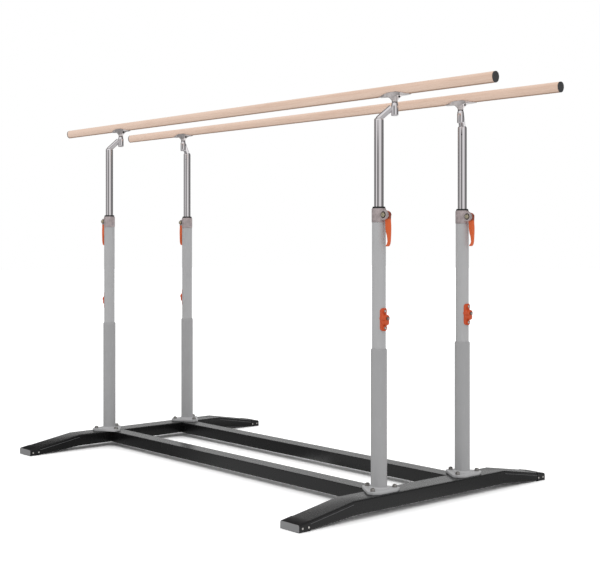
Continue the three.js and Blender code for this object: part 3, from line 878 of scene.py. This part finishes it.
@dataclass
class Saddles:
    """The polished cradles that hold the rails, each on a neck and a swivel pin."""

    rails: Rails
    half: float = 95.0
    stations: int = 56
    wide: float = 23.0
    tip: float = 8.0
    wrap: float = 16.0
    tip_wrap: float = 3.0
    keel: float = 26.0
    keel_power: float = 2.2
    width_taper: Triple = (0.55, 0.45, 1.25)
    wrap_taper: Triple = (0.25, 0.6, 1.2)
    keel_taper: Triple = (0.12, 0.35, 1.0)
    sheet: float = 0.5
    gap: float = 0.3
    under_rail: float = 1950.0
    lean: float = 6.0
    neck_radius: float = 14.0
    neck_top: float = 1925.0
    neck_foot: float = 1920.1
    washer_foot: float = 1918.1
    pin_radius: float = 7.0
    pin_foot: float = 1858.7
    screw_x: float = 27.0
    screw_lean: Triple = (0.75, 0.0, -0.66)

    def station(self, x: float) -> list[Vector]:
        """Makes one section of the cradle.

        Args:
            x: Its place along the rail.

        Returns:
            The closed section, from the keel up one side and down the other.
        """
        share = abs(x) / self.half
        wide = self.wide - (self.wide - self.tip) * tapered(share, *self.width_taper)
        top = self.wrap - (self.wrap - self.tip_wrap) * tapered(share, *self.wrap_taper)
        flare = 1 - tapered(share, *self.keel_taper)
        depth = self.sheet * (1 + clamped(2 * (1 - share))) + self.keel * flare ** self.keel_power
        keel = wide - (wide - self.neck_radius) * clamped((depth - 5.0) / 18.0)
        lean = min(self.lean * flare ** 0.5, wide * 0.3)
        outer = curve((0.0, -depth), (keel * 0.98, -depth), (wide - lean - 0.6, -1.5), 9)
        outer += [(wide - lean * 0.75, 2.0), (wide, top - 1.5), (wide - 1.2, top)]
        lift, count = self.rails.half_height, 10
        inside = sorted((spot for spot in self.rails.section(self.gap, 240)
                         if 0 <= spot[0] < wide - 1.0 and spot[1] <= top - lift), key=lambda spot: spot[1])
        picked = [inside[round(i * (len(inside) - 1) / (count - 1))] for i in range(count)]
        right = outer + [(y, z + lift) for y, z in reversed(picked)]
        left = [(-y, z) for y, z in reversed(right[1:-1])]
        return [Vector((x, y, z + self.under_rail)) for y, z in right + left]

    def cradle(self) -> Mesh:
        """Builds the cradle with its neck and pin."""
        angles = [math.pi / 2 * (2 * i / self.stations - 1) for i in range(self.stations + 1)]
        stations = [self.station(round(self.half * math.sin(angle), 3)) for angle in angles]
        radius, foot, top = self.neck_radius, self.neck_foot, self.neck_top
        neck = Form.turned([(0.0, foot), (radius - 1.2, foot), (radius, foot + 1.2), (radius, top - 2),
                            (radius + 1.5, top + 6), (0.0, top + 8)])
        pin = Form.rod(self.pin_radius, self.pin_foot, foot + 4, 32)
        return shaped("saddle", Form(stations), [neck, pin])

    def build(self, finishes: Finishes) -> None:
        """Builds and places the four saddles with their screws and washers."""
        cradle = self.cradle()
        screw = Form.rod(4.8, -6.0, 4.2, 32, 0.9).along(self.screw_lean)
        screw = shaped("saddle_screw", screw.moved(x=self.screw_x, z=self.under_rail - 6.0))
        inner, outer = self.pin_radius + self.gap, self.neck_radius - 0.4
        wall = rectangle(inner, outer, self.washer_foot, self.neck_foot - 0.1)
        washer = shaped("swivel_washer", Form.tube(rounded(wall, 0.3, 2), 64))
        for post in POSTS:
            place, body = post.saddle, f"{post.side.word}_rail_set"
            finishes.piece(post.name, "cradle", cradle, "polished_alloy", place, "saddle", body)
            finishes.piece(post.name, "cradle_screw", screw, "black_rubber", place, body=body)
            finishes.piece(post.name, "swivel_washer", washer, "black_rubber", place, body=body)


@dataclass
class Cranks:
    """The chromed tubes, each with a rising arm and an upright socket."""

    tube_radius: float = 22.5
    bore: float = 19.5
    foot: float = 879.7
    shoulder: float = 1825.7
    roof: float = 3.0
    reach: float = 74.0
    rise: float = 64.0
    lift: float = 17.3
    arm_radius: float = 16.0
    arm_share: float = 0.8
    socket_radius: float = 17.0
    socket_bore: float = 7.4
    socket_foot: float = 1855.7
    socket_floor: float = 2.7
    socket_top: float = 1918.0
    dome_top: float = 1848.2
    dome_edge: float = 15.0
    cone: float = 15.0
    cone_radius: float = 14.0
    hole_radius: float = 3.0
    hole_drop: float = 22.0

    def build(self, finishes: Finishes) -> None:
        """Builds and places the four cranks."""
        dome = rounded([(0.0, self.dome_top), (self.tube_radius, self.dome_top - 1.5),
                        (self.tube_radius, self.foot)], self.dome_edge, 10, closed=False)
        roof = self.shoulder - self.roof
        tube = Form.turned([*dome, (self.bore, self.foot), (self.bore, roof), (0.0, roof)], 96)
        slope, radius = Vector((self.reach, 0.0, self.rise)), self.arm_radius
        length = slope.length * self.arm_share
        ball = arc((0.0, 0.0), radius, -90, 0, 10)[1:]
        arm = Form.turned([(0.0, -radius), *ball, (radius, length), (0.0, length)], 64)
        arm = arm.along(slope).moved(z=self.shoulder + self.lift)
        bore, floor = self.socket_bore, self.socket_foot + self.socket_floor
        radius, foot, top = self.socket_radius, self.socket_foot, self.socket_top
        barrel = rounded([(0.0, foot), (radius, foot), (radius, top - self.cone), (self.cone_radius, top),
                          (bore, top)], 4.5, 5, closed=False)
        socket = Form.turned([*barrel, (bore, floor), (0.0, floor)], 72).moved(x=self.reach)
        drill = Form.rod(bore, floor, top + 5, 72).moved(x=self.reach)
        hole = Form.rod(self.hole_radius, 15.0, 30.0, 24).along(ALONG)
        hole = hole.moved(z=self.shoulder - self.hole_drop)
        mesh = shaped("crank", tube, [arm, socket], [drill, hole], 24)
        for post in POSTS:
            finishes.piece(post.name, "chromed_crank", mesh, "bright_chrome", post.crank, "crank_tube",
                           f"{post.name}_crank")
            finishes.keep(f"{post.name}_lift_rod", "plain_steel")


@dataclass
class Clamps:
    """The clamp heads with their levers, bolts, wiper rings and guide bushes."""

    foot: float = 1356.3
    rim: float = 1417.3
    crown: float = 1421.3
    radius: float = 34.0
    core: float = 15.0
    bevel: float = 2.0
    ring_top: float = 1429.6
    bore: float = 26.6
    pivot_x: float = 47.5
    pivot_z: float = 1390.3
    slot_half: float = 9.0
    hub: float = 20.0
    lug: float = 24.0
    lug_face: float = 22.0
    thin_lug: float = 18.0
    thin_face: float = 16.0
    recess: float = 16.0
    recess_depth: float = 5.0
    drill: float = 5.4
    shank: float = 5.0
    hexagon: float = 20.0
    washer: float = 2.0
    cheek: float = 24.0
    lever_half: float = 8.5
    screw_height: float = 1372.0
    blade: tuple[Bend, ...] = (
        ((0.0, -20.0), (0.0, -44.4), 8), ((0.0, -76.96), (9.0, -94.72), 8),
        ((11.5, -103.6), (14.0, -124.32), 6), ((10.0, -141.34), (3.0, -141.34), 8),
        ((3.0, -141.34), (2.5, -144.3), 1), ((2.5, -148.0), (5.0, -148.0), 4),
        ((5.0, -148.0), (7.0, -148.0), 1), ((18.0, -148.0), (22.0, -124.32), 8),
        ((26.66667, -62.16), (24.0, -42.92), 10), ((22.5, -29.6), (23.2, -14.8), 6))

    def lug_form(self, radius: float, start: float, stop: float) -> Form:
        """Returns one lug, from inside the barrel to round the pivot."""
        rim = arc((self.pivot_x, self.pivot_z), radius, -90, 90, 36)
        outline = [(self.core, self.pivot_z - radius), *rim, (self.core, self.pivot_z + radius)]
        return Form.pushed(outline, Plane.XZ, start, stop, 1.6)

    def cross_drill(self) -> Form:
        """Returns the hole of the bolt, about the pivot."""
        return Form.rod(self.drill, -40.0, 40.0, 32).along(ACROSS)

    def head(self) -> Mesh:
        """Builds the head: a barrel with two lugs, a slot, a bore and a bolt seat."""
        barrel = rounded([(self.core, self.foot), (self.radius, self.foot), (self.radius, self.rim),
                          (self.radius - self.bevel, self.crown), (self.core, self.crown)], 1.4, 4)
        lugs = [self.lug_form(self.lug, -self.lug_face, -self.slot_half),
                self.lug_form(self.thin_lug, self.slot_half, self.thin_face)]
        slot = Form.rod(self.cheek + 0.5, -self.slot_half, self.slot_half, 72).along(ACROSS)
        seat = Form.rod(self.recess, -self.lug_face - 6, self.recess_depth - self.lug_face, 64).along(ACROSS)
        cuts = [cut.moved(x=self.pivot_x, z=self.pivot_z) for cut in (slot, seat, self.cross_drill())]
        bore = Form.rod(self.bore, self.foot - 5, self.crown + 15, 96)
        screw = Form.rod(4.3, 28.0, 40.0, 32).along((-1, 0, 0)).moved(z=self.screw_height)
        return shaped("clamp_head", Form.tube(barrel), lugs, [bore, *cuts, screw])

    def ring(self) -> Mesh:
        """Builds the black wiper ring on top of the head, round the guide bush."""
        foot, inner = self.crown + 0.15, self.bore + 0.1
        wall = [(inner, foot), (self.radius - self.bevel - 0.6, foot), (inner + 2.1, self.ring_top),
                (inner, self.ring_top)]
        return shaped("wiper_ring", Form.tube(rounded(wall, 0.6, 3)))

    def lever(self) -> Mesh:
        """Builds the lever: a hub, a bowed blade and a hooked tip."""
        rim = [*arc((0.0, 0.0), self.cheek, 0, 26, 8), *arc((0.0, 0.0), self.hub, 44, 236, 44)]
        base = Form.pushed(path(rim, self.blade), Plane.XZ, -self.lever_half, self.lever_half, 2.6, 4)
        return shaped("clamp_lever", base, removed=[self.cross_drill()])

    def seats(self) -> tuple[tuple[int, float, float], ...]:
        """Returns the way, the height and the washer's radius of the bolt's two ends."""
        return (-1, self.lug_face - self.recess_depth + 0.3, 15.4), (1, self.thin_face + 0.3, 12.5)

    def bolt(self) -> Mesh:
        """Builds the bolt and nut with the end of the thread."""
        forms = [Form.rod(self.shank, self.recess_depth - self.lug_face, self.thin_face, 32).along(ACROSS)]
        for way, seat, _ in self.seats():
            forms.append(hex_form(self.hexagon, seat + self.washer + 0.05, seat + 9.0).along((0, way, 0)))
        forms.append(Form.rod(self.shank, seat + 9.05, seat + 10.5, 32, 0.6).along(ACROSS))
        return gathered("clamp_bolt", forms)

    def washers(self) -> Mesh:
        """Builds the two washers beneath the bolt's ends; their black is painted shade in the bolt recesses.
        """
        return gathered("clamp_washers", [
            Form.rod(radius, seat, seat + self.washer, 48, 0.5).along((0, way, 0))
            for way, seat, radius in self.seats()])

    def screw(self) -> Mesh:
        """Builds the small socket screw in the back of the head."""
        profile = [(0.0, 29.0), (4.0, 29.0), (4.0, 35.0), (2.1, 35.0), (2.1, 33.2), (0.0, 33.2)]
        screw = Form.turned(rounded(profile, 0.4, 3, closed=False), 32)
        return shaped("head_screw", screw.along((-1, 0, 0)))

    def build(self, finishes: Finishes) -> None:
        """Builds and places the four clamps."""
        head, lever, bolt = self.head(), self.lever(), self.bolt()
        washers, ring, screw = self.washers(), self.ring(), self.screw()
        for post in POSTS:
            place = post.place
            pivot = place @ Matrix.Translation(Vector((self.pivot_x, 0.0, self.pivot_z)) * MM)
            height = place @ Matrix.Translation((0.0, 0.0, self.screw_height * MM))
            finishes.piece(post.name, "head_casting", head, "cast_alloy", place, "clamp_head")
            finishes.piece(post.name, "lever_arm", lever, "orange_paint", pivot, "clamp_lever",
                           f"{post.name}_lever")
            finishes.piece(post.name, "lever_bolt", bolt, "zinc_plate", pivot, "clamp_bolt")
            # The washers' black is painted shade in the bolt recesses.
            finishes.piece(post.name, "bolt_washers", washers, "black_rubber", pivot)
            finishes.piece(post.name, "wiper_ring", ring, "black_rubber", place)
            finishes.piece(post.name, "head_screw", screw, "plain_steel", height)
            finishes.keep(f"{post.name}_guide_bush", "dark_plastic")


@dataclass
class Latches:
    """The height latches: a curved housing with two bosses, a pull knob and two screws."""

    height: float = 900.0
    column: float = 32.8
    back: float = 16.0
    front: float = 37.5
    width: float = 41.0
    length: float = 107.0
    corner: float = 15.0
    clear: float = 80.0
    lobe: float = 12.0
    lobe_front: float = 41.5
    spacing: float = 80.0
    seat: float = 39.4
    boss: float = 17.0
    boss_rise: float = 6.0
    boss_front: float = 54.25
    low_boss: float = 14.0
    low_drop: float = 13.0
    flare: float = 5.0

    def laid(self, form: Form, z: float = 0.0) -> Form:
        """Returns a form laid along X, so far above the middle of the latch."""
        return form.along(ALONG).moved(z=self.height + z)

    def pair(self, form: Form) -> list[Form]:
        """Returns a form laid along X at both screws."""
        return [self.laid(form, way * self.spacing / 2) for way in WAYS]

    def boss_form(self, radius: float, z: float) -> Form:
        """Returns a boss along X with a flared root and a rounded front."""
        root = [(0.0, self.back), (radius + self.flare, self.back), (radius + self.flare, self.front - 2)]
        side = path(root, [((radius, self.front), (radius, self.front + self.flare + 2), 6)])
        nose = rounded([side[-1], (radius, self.boss_front), (0.0, self.boss_front)], 2.4, 4, closed=False)
        return self.laid(Form.turned([*side, *nose[1:]], 64), z)

    def housing(self) -> Mesh:
        """Builds the housing, rounded in front and hollow to the column."""
        half_w, half_l = self.width / 2, self.length / 2
        low, high = self.height - self.clear, self.height + self.clear
        outline = rounded(rectangle(-half_w, half_w, -half_l, half_l), self.corner, 10)
        shell = Form.pushed([(y, z + self.height) for y, z in outline], Plane.YZ, 10.0, 60.0)
        body = shaped("latch_shell", shell, removed=[Form.tube(rectangle(self.front, 90.0, low, high))])
        lobes = self.pair(Form.rod(self.lobe, 20.0, self.lobe_front, 48, 1.2))
        bosses = [self.boss_form(self.boss, self.boss_rise), self.boss_form(self.low_boss, -self.low_drop)]
        column = Form.rod(self.column, low, high, 96)
        behind = Form.pushed(rectangle(-60.0, 60.0, low - 10, high + 10), Plane.YZ, -60.0, self.back + 0.3)
        seats = self.pair(Form.rod(7.6, self.seat - 0.1, self.lobe_front + 9, 40))
        drill = self.laid(Form.rod(4.9, 20.0, 80.0, 32), self.boss_rise)
        return shaped("latch_housing", body, [*lobes, *bosses], [column, behind, *seats, drill])

    def knob(self) -> Mesh:
        """Builds the pull pin with its flange and rounded knob."""
        pin, knob, start = 4.5, 8.0, self.boss_front + 0.3
        nose = [(0.0, 29.8), (3.0, 29.8), (pin, 31.3), (pin, 35.2), (knob, 35.2), (knob, 38.2), (pin, 38.2),
                (pin, start)]
        grip = [(pin, start), (knob, start), (knob, start + 6), (0.0, start + 6)]
        grip = rounded(grip, 1.3, 4, closed=False)
        return shaped("latch_knob", self.laid(Form.turned([*nose, *grip[1:]], 72), self.boss_rise))

    def screws(self) -> Mesh:
        """Builds the two screws with their socket heads."""
        shank, head, socket = 2.9, 5.4, 2.0
        profile = [(0.0, 34.0), (shank, 34.0), (shank, self.seat + 0.9), (head, self.seat + 0.9),
                   (head, self.seat + 3.0), (socket, self.seat + 3.6), (socket, self.seat + 1.8),
                   (0.0, self.seat + 1.8)]
        return gathered("latch_screws", self.pair(Form.turned(rounded(profile, 0.5, 3, closed=False), 40)))

    def washers(self) -> Mesh:
        """Builds the washers beneath the two screws; their deep grey is painted shade in the counterbores.
        """
        wall = rounded(rectangle(3.3, 7.3, self.seat, self.seat + 0.8), 0.2, 2)
        return gathered("latch_washers", self.pair(Form.tube(wall, 40)))

    def build(self, finishes: Finishes) -> None:
        """Builds and places the four latches."""
        housing, knob, screws, washers = self.housing(), self.knob(), self.screws(), self.washers()
        for post in POSTS:
            place = post.place
            finishes.piece(post.name, "latch_shell", housing, "orange_plastic", place, "latch_housing")
            finishes.piece(post.name, "latch_knob", knob, "dark_steel", place, "latch_pin",
                           f"{post.name}_pin")
            finishes.piece(post.name, "latch_screws", screws, "bright_zinc", place)
            # The washers' deep grey is painted shade in the counterbores.
            finishes.piece(post.name, "latch_washers", washers, "dark_plastic", place)


@dataclass
class Sockets:
    """The columns, their sleeves with weld beads, and the base plates with their bolts."""

    column_radius: float = 32.5
    column_bore: float = 29.5
    column_foot: float = 105.6
    column_top: float = 1356.0
    sleeve_bore: float = 33.1
    sleeve_radius: float = 38.1
    sleeve_top: float = 761.0
    sleeve_bevel: Point = (3.4, 4.0)
    plate_top: float = 105.3
    plate_thickness: float = 14.0
    bead_radius: float = 47.1
    bead_ripples: int = 48
    bead_depth: float = 0.35
    bolts: tuple[Point, ...] = ((31.5, -75.0), (31.5, 75.0), (-75.0, 0.0))
    corners: tuple[Point, ...] = ((65.8, 58.2), (49.4, 90.2), (18.3, 97.0), (-77.7, 30.1), (-91.4, 18.4))

    @property
    def bottom(self) -> float:
        """The underside of the base plate."""
        return self.plate_top - self.plate_thickness

    def column(self) -> Mesh:
        """Builds the upper, thinner tube."""
        wall = rectangle(self.column_bore, self.column_radius, self.column_foot, self.column_top)
        return shaped("column", Form.tube(rounded(wall, 1.0, 3)))

    def sleeve(self) -> Mesh:
        """Builds the lower, thicker tube with a bevelled rim."""
        radius, top = self.sleeve_radius, self.sleeve_top
        across, down = self.sleeve_bevel
        wall = [(self.sleeve_bore, self.plate_top), (radius, self.plate_top), (radius, top - down),
                (radius - across, top), (self.sleeve_bore, top)]
        return shaped("sleeve", Form.tube(wall), crisp=20)

    def plate(self) -> Mesh:
        """Builds the base plate with its bolt holes."""
        outline = rounded([*self.corners, *[(x, -y) for x, y in reversed(self.corners)]], 7.0, 5)
        hole = Form.rod(7.3, self.bottom - 5, self.plate_top + 5, 32)
        return shaped("base_plate", Form.pushed(outline, Plane.XY, self.bottom, self.plate_top, 1.6),
                      removed=[hole.moved(*spot) for spot in self.bolts])

    def bead(self) -> Mesh:
        """Builds the rippled weld bead round the foot of the sleeve."""
        top, inner, outer = self.plate_top, self.sleeve_radius, self.bead_radius
        wall = [(inner, top), (outer, top), (outer - 0.8, top + 2.4), (outer - 4.2, top + 6.0),
                (inner + 1.6, top + 9.2), (inner, top + 10.0)]
        bead = Form.tube(wall, 6 * self.bead_ripples,
                         ripple=lambda angle: self.bead_depth * math.sin(self.bead_ripples * angle))
        return shaped("weld_bead", bead, crisp=60)

    def plate_bolts(self) -> Mesh:
        """Builds the bolts, each with a washer, a hexagon, the end of the thread and a shank."""
        top, shank = self.plate_top, 6.6
        stack = (Form.rod(12.5, top + 0.05, top + 2.5, 48, 0.5), hex_form(20.0, top + 2.55, top + 11.5),
                 Form.rod(shank, top + 11.55, top + 14.0, 32, 0.8),
                 Form.rod(shank, self.bottom - 1.0, top, 32, 0.4))
        return gathered("plate_bolts", [form.moved(*spot) for spot in self.bolts for form in stack])

    def build(self, finishes: Finishes) -> None:
        """Builds and places the four posts' fixed tubes and plates."""
        rows = (("column_tube", self.column(), "grey_paint", "column"),
                # The sleeve's darker grey is painted shade.
                ("sleeve", self.sleeve(), "sleeve_grey", "post_socket"),
                ("base_plate", self.plate(), "grey_paint", ""), ("weld_bead", self.bead(), "grey_paint", ""),
                ("plate_bolts", self.plate_bolts(), "dark_steel", ""))
        for post in POSTS:
            for part, mesh, finish, node in rows:
                finishes.piece(post.name, part, mesh, finish, post.place, node)


@dataclass
class BaseFrame:
    """The beams on the floor and the shoes on their feet."""

    span: float = 1774.0
    kink: float = 1090.0
    top: float = 91.0
    tip_top: float = 36.0
    width: float = 126.0
    shoe: float = 65.0
    wall: float = 1.5
    seam: float = 1.4
    seam_drop: float = 15.0
    screw_rows: Point = (867.0, 830.0)
    screw_height: float = 18.0

    def top_at(self, y: float) -> float:
        """Returns the height of the shoe's top at a place across the bars."""
        slope = (self.top - self.tip_top + self.wall) / ((self.span - self.kink) / 2)
        return self.top - slope * (y - self.kink / 2) + self.wall

    def ring(self, y: float, shrink: float, corner: float) -> list[Vector]:
        """Makes one section of the shoe.

        Args:
            y: Its place across the bars.
            shrink: How far it lies inside the full section.
            corner: Rounding of its upper corners.

        Returns:
            The closed section.
        """
        half = self.width / 2 - shrink
        box = rectangle(-half, half, shrink if shrink > 1 else 0.0, self.top_at(y) - shrink)
        made = []
        for i, radius in enumerate((3.0, 3.0, corner, corner)):
            made += rounded([box[i - 1], box[i], box[(i + 1) % 4]], radius, 6, closed=False)[1:-1]
        return [Vector((x, y, z)) for x, z in made]

    def cup(self) -> Mesh:
        """Builds the shoe as a cup over the end of a foot."""
        end, inner, corner = self.span / 2, self.wall - 0.2, 9.5
        start = end - self.shoe
        return shaped("shoe", Form([
            self.ring(end - 4.2, inner, 8.0), self.ring(start, inner, 8.0), self.ring(start, 0.0, corner),
            self.ring(end - 2.6, 0.0, corner), self.ring(end - 1.2, 0.9, corner)]))

    def end_plate(self) -> Mesh:
        """Builds the grey plate on the end of the shoe."""
        end = self.span / 2
        rows = ((1.15, 1.4), (0.4, 1.4), (0.0, 1.9))
        return shaped("end_plate", Form([self.ring(end - back, shrink, 9.0) for back, shrink in rows]))

    def screws(self) -> Mesh:
        """Builds the domed screws on both sides of the shoe."""
        dome = [(0.0, 0.0), (5.0, 0.0), (4.4, 1.8), (0.0, 2.6)]
        head = Form.turned(rounded(dome, 0.8, 4, closed=False), 32)
        return gathered("shoe_screws", [
            head.along((way, 0, 0)).moved(way * self.width / 2, y, self.screw_height)
            for y in self.screw_rows for way in WAYS])

    def seams(self) -> Mesh:
        """Builds the weld seams along both sides of the sloping foot; their pale grey on the black foot is a
        painted highlight.
        """
        near, far = self.kink / 2 + 4, self.span / 2 - self.shoe - 2
        run = Vector((0.0, far - near, self.top_at(far) - self.top_at(near)))
        seam = Form.rod(self.seam, 0.0, run.length, 12, 0.3).along(run)
        height = self.top_at(near) - self.wall - self.seam_drop
        return gathered("foot_seams", [
            seam.moved(way * (self.width / 2 - self.wall), near, height) for way in WAYS])

    def build(self, finishes: Finishes) -> None:
        """Dresses the beams and builds the shoes with their fittings."""
        for beam in [f"{end.word}_crossbeam" for end in End] + [f"{side.word}_beam" for side in Side]:
            finishes.keep(beam, "black_paint")
        rows = (("shoe", self.cup(), "shoe_plastic", "foot_cap"),
                ("shoe_end_plate", self.end_plate(), "end_grey", ""),
                ("shoe_screws", self.screws(), "bright_zinc", ""),
                # The seams' pale grey is a painted highlight line.
                ("foot_seams", self.seams(), "seam_paint", ""))
        for post in POSTS:
            place = floor_place(f"{post.end.word}_crossbeam") @ post.side.turn
            for part, mesh, finish, node in rows:
                finishes.piece(post.name, part, mesh, finish, place, node)


# Studio


@dataclass
class Studio:
    """A white floor, a soft key lamp, an even world, a tent for mirrored panels and the camera."""

    camera_place: Triple = (4.869336, -4.272929, 1.264469)
    azimuth: float = 50.302024
    lens: float = 69.17
    sensor: float = 36.0
    shift: Point = (0.1, -0.08465)
    fill: Point = (0.83, 1.04)
    key_strength: float = 0.2
    key_width: float = 70.0
    key_azimuth: float = -45.0
    key_elevation: float = 50.0
    floor_reach: float = 40.0
    floor_bounce: float = 0.78
    floor_white: float = 1.3
    bands: tuple[Point, ...] = (
        (-180, 0.28), (-150, 0.22), (-122, 0.25), (-114, 0.92), (-98, 0.92), (-90, 0.35), (-80, 0.2),
        (-62, 0.2), (-46, 0.5), (-34, 0.82), (4, 0.82), (14, 0.35), (26, 0.2), (100, 0.18), (145, 0.16),
        (180, 0.28))
    upper: tuple[Point, ...] = (
        (-180, 0.15), (-140, 0.3), (-110, 0.9), (0, 0.85), (30, 0.3), (60, 0.12), (112, 0.14), (130, 0.36),
        (145, 0.36), (151, 0.06), (170, 0.06), (180, 0.15))
    ground: tuple[Point, ...] = (
        (-180, 0.32), (-150, 0.2), (-120, 0.56), (0, 0.56), (16, 0.45), (34, 0.3), (50, 1.0), (112, 1.0),
        (135, 0.3), (150, 0.25), (180, 0.32))
    glow_azimuth: float = 128.0
    zenith: float = 0.5
    tent_radius: float = 200.0
    tent_lift: float = 0.001

    def camera(self) -> None:
        """Sets up the camera at the photograph's viewing angle."""
        data = bpy.data.cameras.new("camera")
        data.sensor_width, data.lens, data.clip_end = self.sensor, self.lens, self.tent_radius
        data.shift_x, data.shift_y = self.shift
        made = linked("camera", data)
        made.location = self.camera_place
        made.rotation_euler = (math.pi / 2, 0.0, math.radians(self.azimuth))
        bpy.context.scene.camera = made

    def floor(self) -> None:
        """Lays the white floor."""
        mesh, reach = bpy.data.meshes.new("floor"), self.floor_reach
        spots = [(x, y, 0.0) for x, y in rectangle(-reach, reach, -reach, reach)]
        mesh.from_pydata(spots, [], [(0, 1, 2, 3)])
        paper = Shader(bpy.data.materials.new("paper"))
        bounced = paper.node("ShaderNodeLightPath", output="Is Diffuse Ray")
        paper.surface(Base_Color=paper.mix(bounced, grey(self.floor_white), grey(self.floor_bounce)),
                      Roughness=1.0, Specular_IOR_Level=0.0)
        mesh.materials.append(paper.owner)
        linked("floor", mesh)

    def world(self) -> None:
        """Makes the world: plain white to the camera, to metal and through glass, and an even light."""
        world = bpy.context.scene.world = bpy.data.worlds.new("studio")
        world.cycles.sampling_method = "NONE"
        shader = Shader(world)
        height = shader.axis("Z", shader.place(kind="Generated"))
        even = shader.mix(height.between(0.0, 0.8), *[grey(level) for level in self.fill])
        seen = sum(shader.node("ShaderNodeLightPath", output=f"Is {kind} Ray")
                   for kind in ("Camera", "Glossy", "Transmission"))
        shader.feed(shader.tree.nodes["Background"].inputs["Color"], shader.mix(seen, even, grey(1.0)))

    def panels(self) -> bpy.types.Material:
        """Makes the pale and dark panels of the tent, by azimuth and slope."""
        shader = Shader(bpy.data.materials.new("panels"))
        shader.owner.cycles.emission_sampling = "NONE"
        spot = shader.place()
        east, north, up = (shader.axis(name, spot) for name in "XYZ")
        angle = east.worked("ARCTAN2", north, east) / math.tau + 0.5
        ground, bands, upper = (
            shader.ramp(angle, [((degrees + 180) / 360, level) for degrees, level in levels])
            for levels in (self.ground, self.bands, self.upper))
        slope = up / self.tent_radius
        x, y = polar(1.0, math.radians(self.glow_azimuth))
        behind = (east * x + north * y) / self.tent_radius
        glow = slope.between(0.1, 0.15) * (1 - slope.between(0.25, 0.32)) * behind.between(0.87, 0.92)
        walls = shader.mix(slope.between(0.12, 0.2), bands, upper)
        walls = shader.mix(glow, walls, grey(1.0))
        walls = shader.mix(slope.between(0.86, 0.98), walls, grey(self.zenith))
        shader.surface(Base_Color=grey(0.0), Specular_IOR_Level=0.0, Emission_Strength=1.0,
                       Emission_Color=shader.mix(up.between(0.01, 0.1), ground, walls))
        return shader.owner

    def tent(self) -> None:
        """Sets up the tent of panels that only metal and gloss mirror."""
        reach, lift = self.tent_radius / MM, self.tent_lift / MM
        dome = [(x, y + lift) for x, y in arc((0.0, 0.0), reach, 0, 90, 24)[:-1]]
        flat = [(radius / MM, lift) for radius in (0.0, 8.0, 40.0)]
        mesh = Form.turned([*flat, *dome, (0.0, reach)], 96).mesh("tent")
        mesh.flip_normals()
        mesh.materials.append(self.panels())
        made = linked("tent", mesh)
        made.visible_camera = made.visible_diffuse = made.visible_shadow = made.visible_transmission = False

    def key(self) -> None:
        """Hangs the soft key light, a very wide sun."""
        data = bpy.data.lights.new("key", "SUN")
        data.energy, data.angle = self.key_strength, math.radians(self.key_width)
        flat, height = polar(1.0, math.radians(self.key_elevation))
        way = Vector((*polar(flat, math.radians(self.key_azimuth)), height))
        made = linked("key", data)
        made.location = way * 6
        made.rotation_euler = (-way).to_track_quat("-Z", "Y").to_euler()
        made.visible_glossy = False

    def build(self) -> None:
        """Sets the whole studio."""
        for step in (self.camera, self.floor, self.world, self.tent, self.key):
            step()
        bpy.context.scene.view_settings.view_transform = "Standard"
        log.info("the studio is set")


def corners(box: Sequence[Sequence[float]]) -> list[list[float]]:
    """Returns a box as plain lists of numbers."""
    return [[float(number) for number in corner] for corner in box]


def main() -> None:
    """Sets the studio and builds the sub-assemblies in order."""
    logging.basicConfig(level=logging.INFO, format="%(message)s")
    Studio().build()
    finishes, rails = Finishes(FINISHES), Rails()
    for assembly in (rails, Saddles(rails), Cranks(), Clamps(), Latches(), Sockets(), BaseFrame()):
        assembly.build(finishes)


if __name__ == "__main__":
    main()
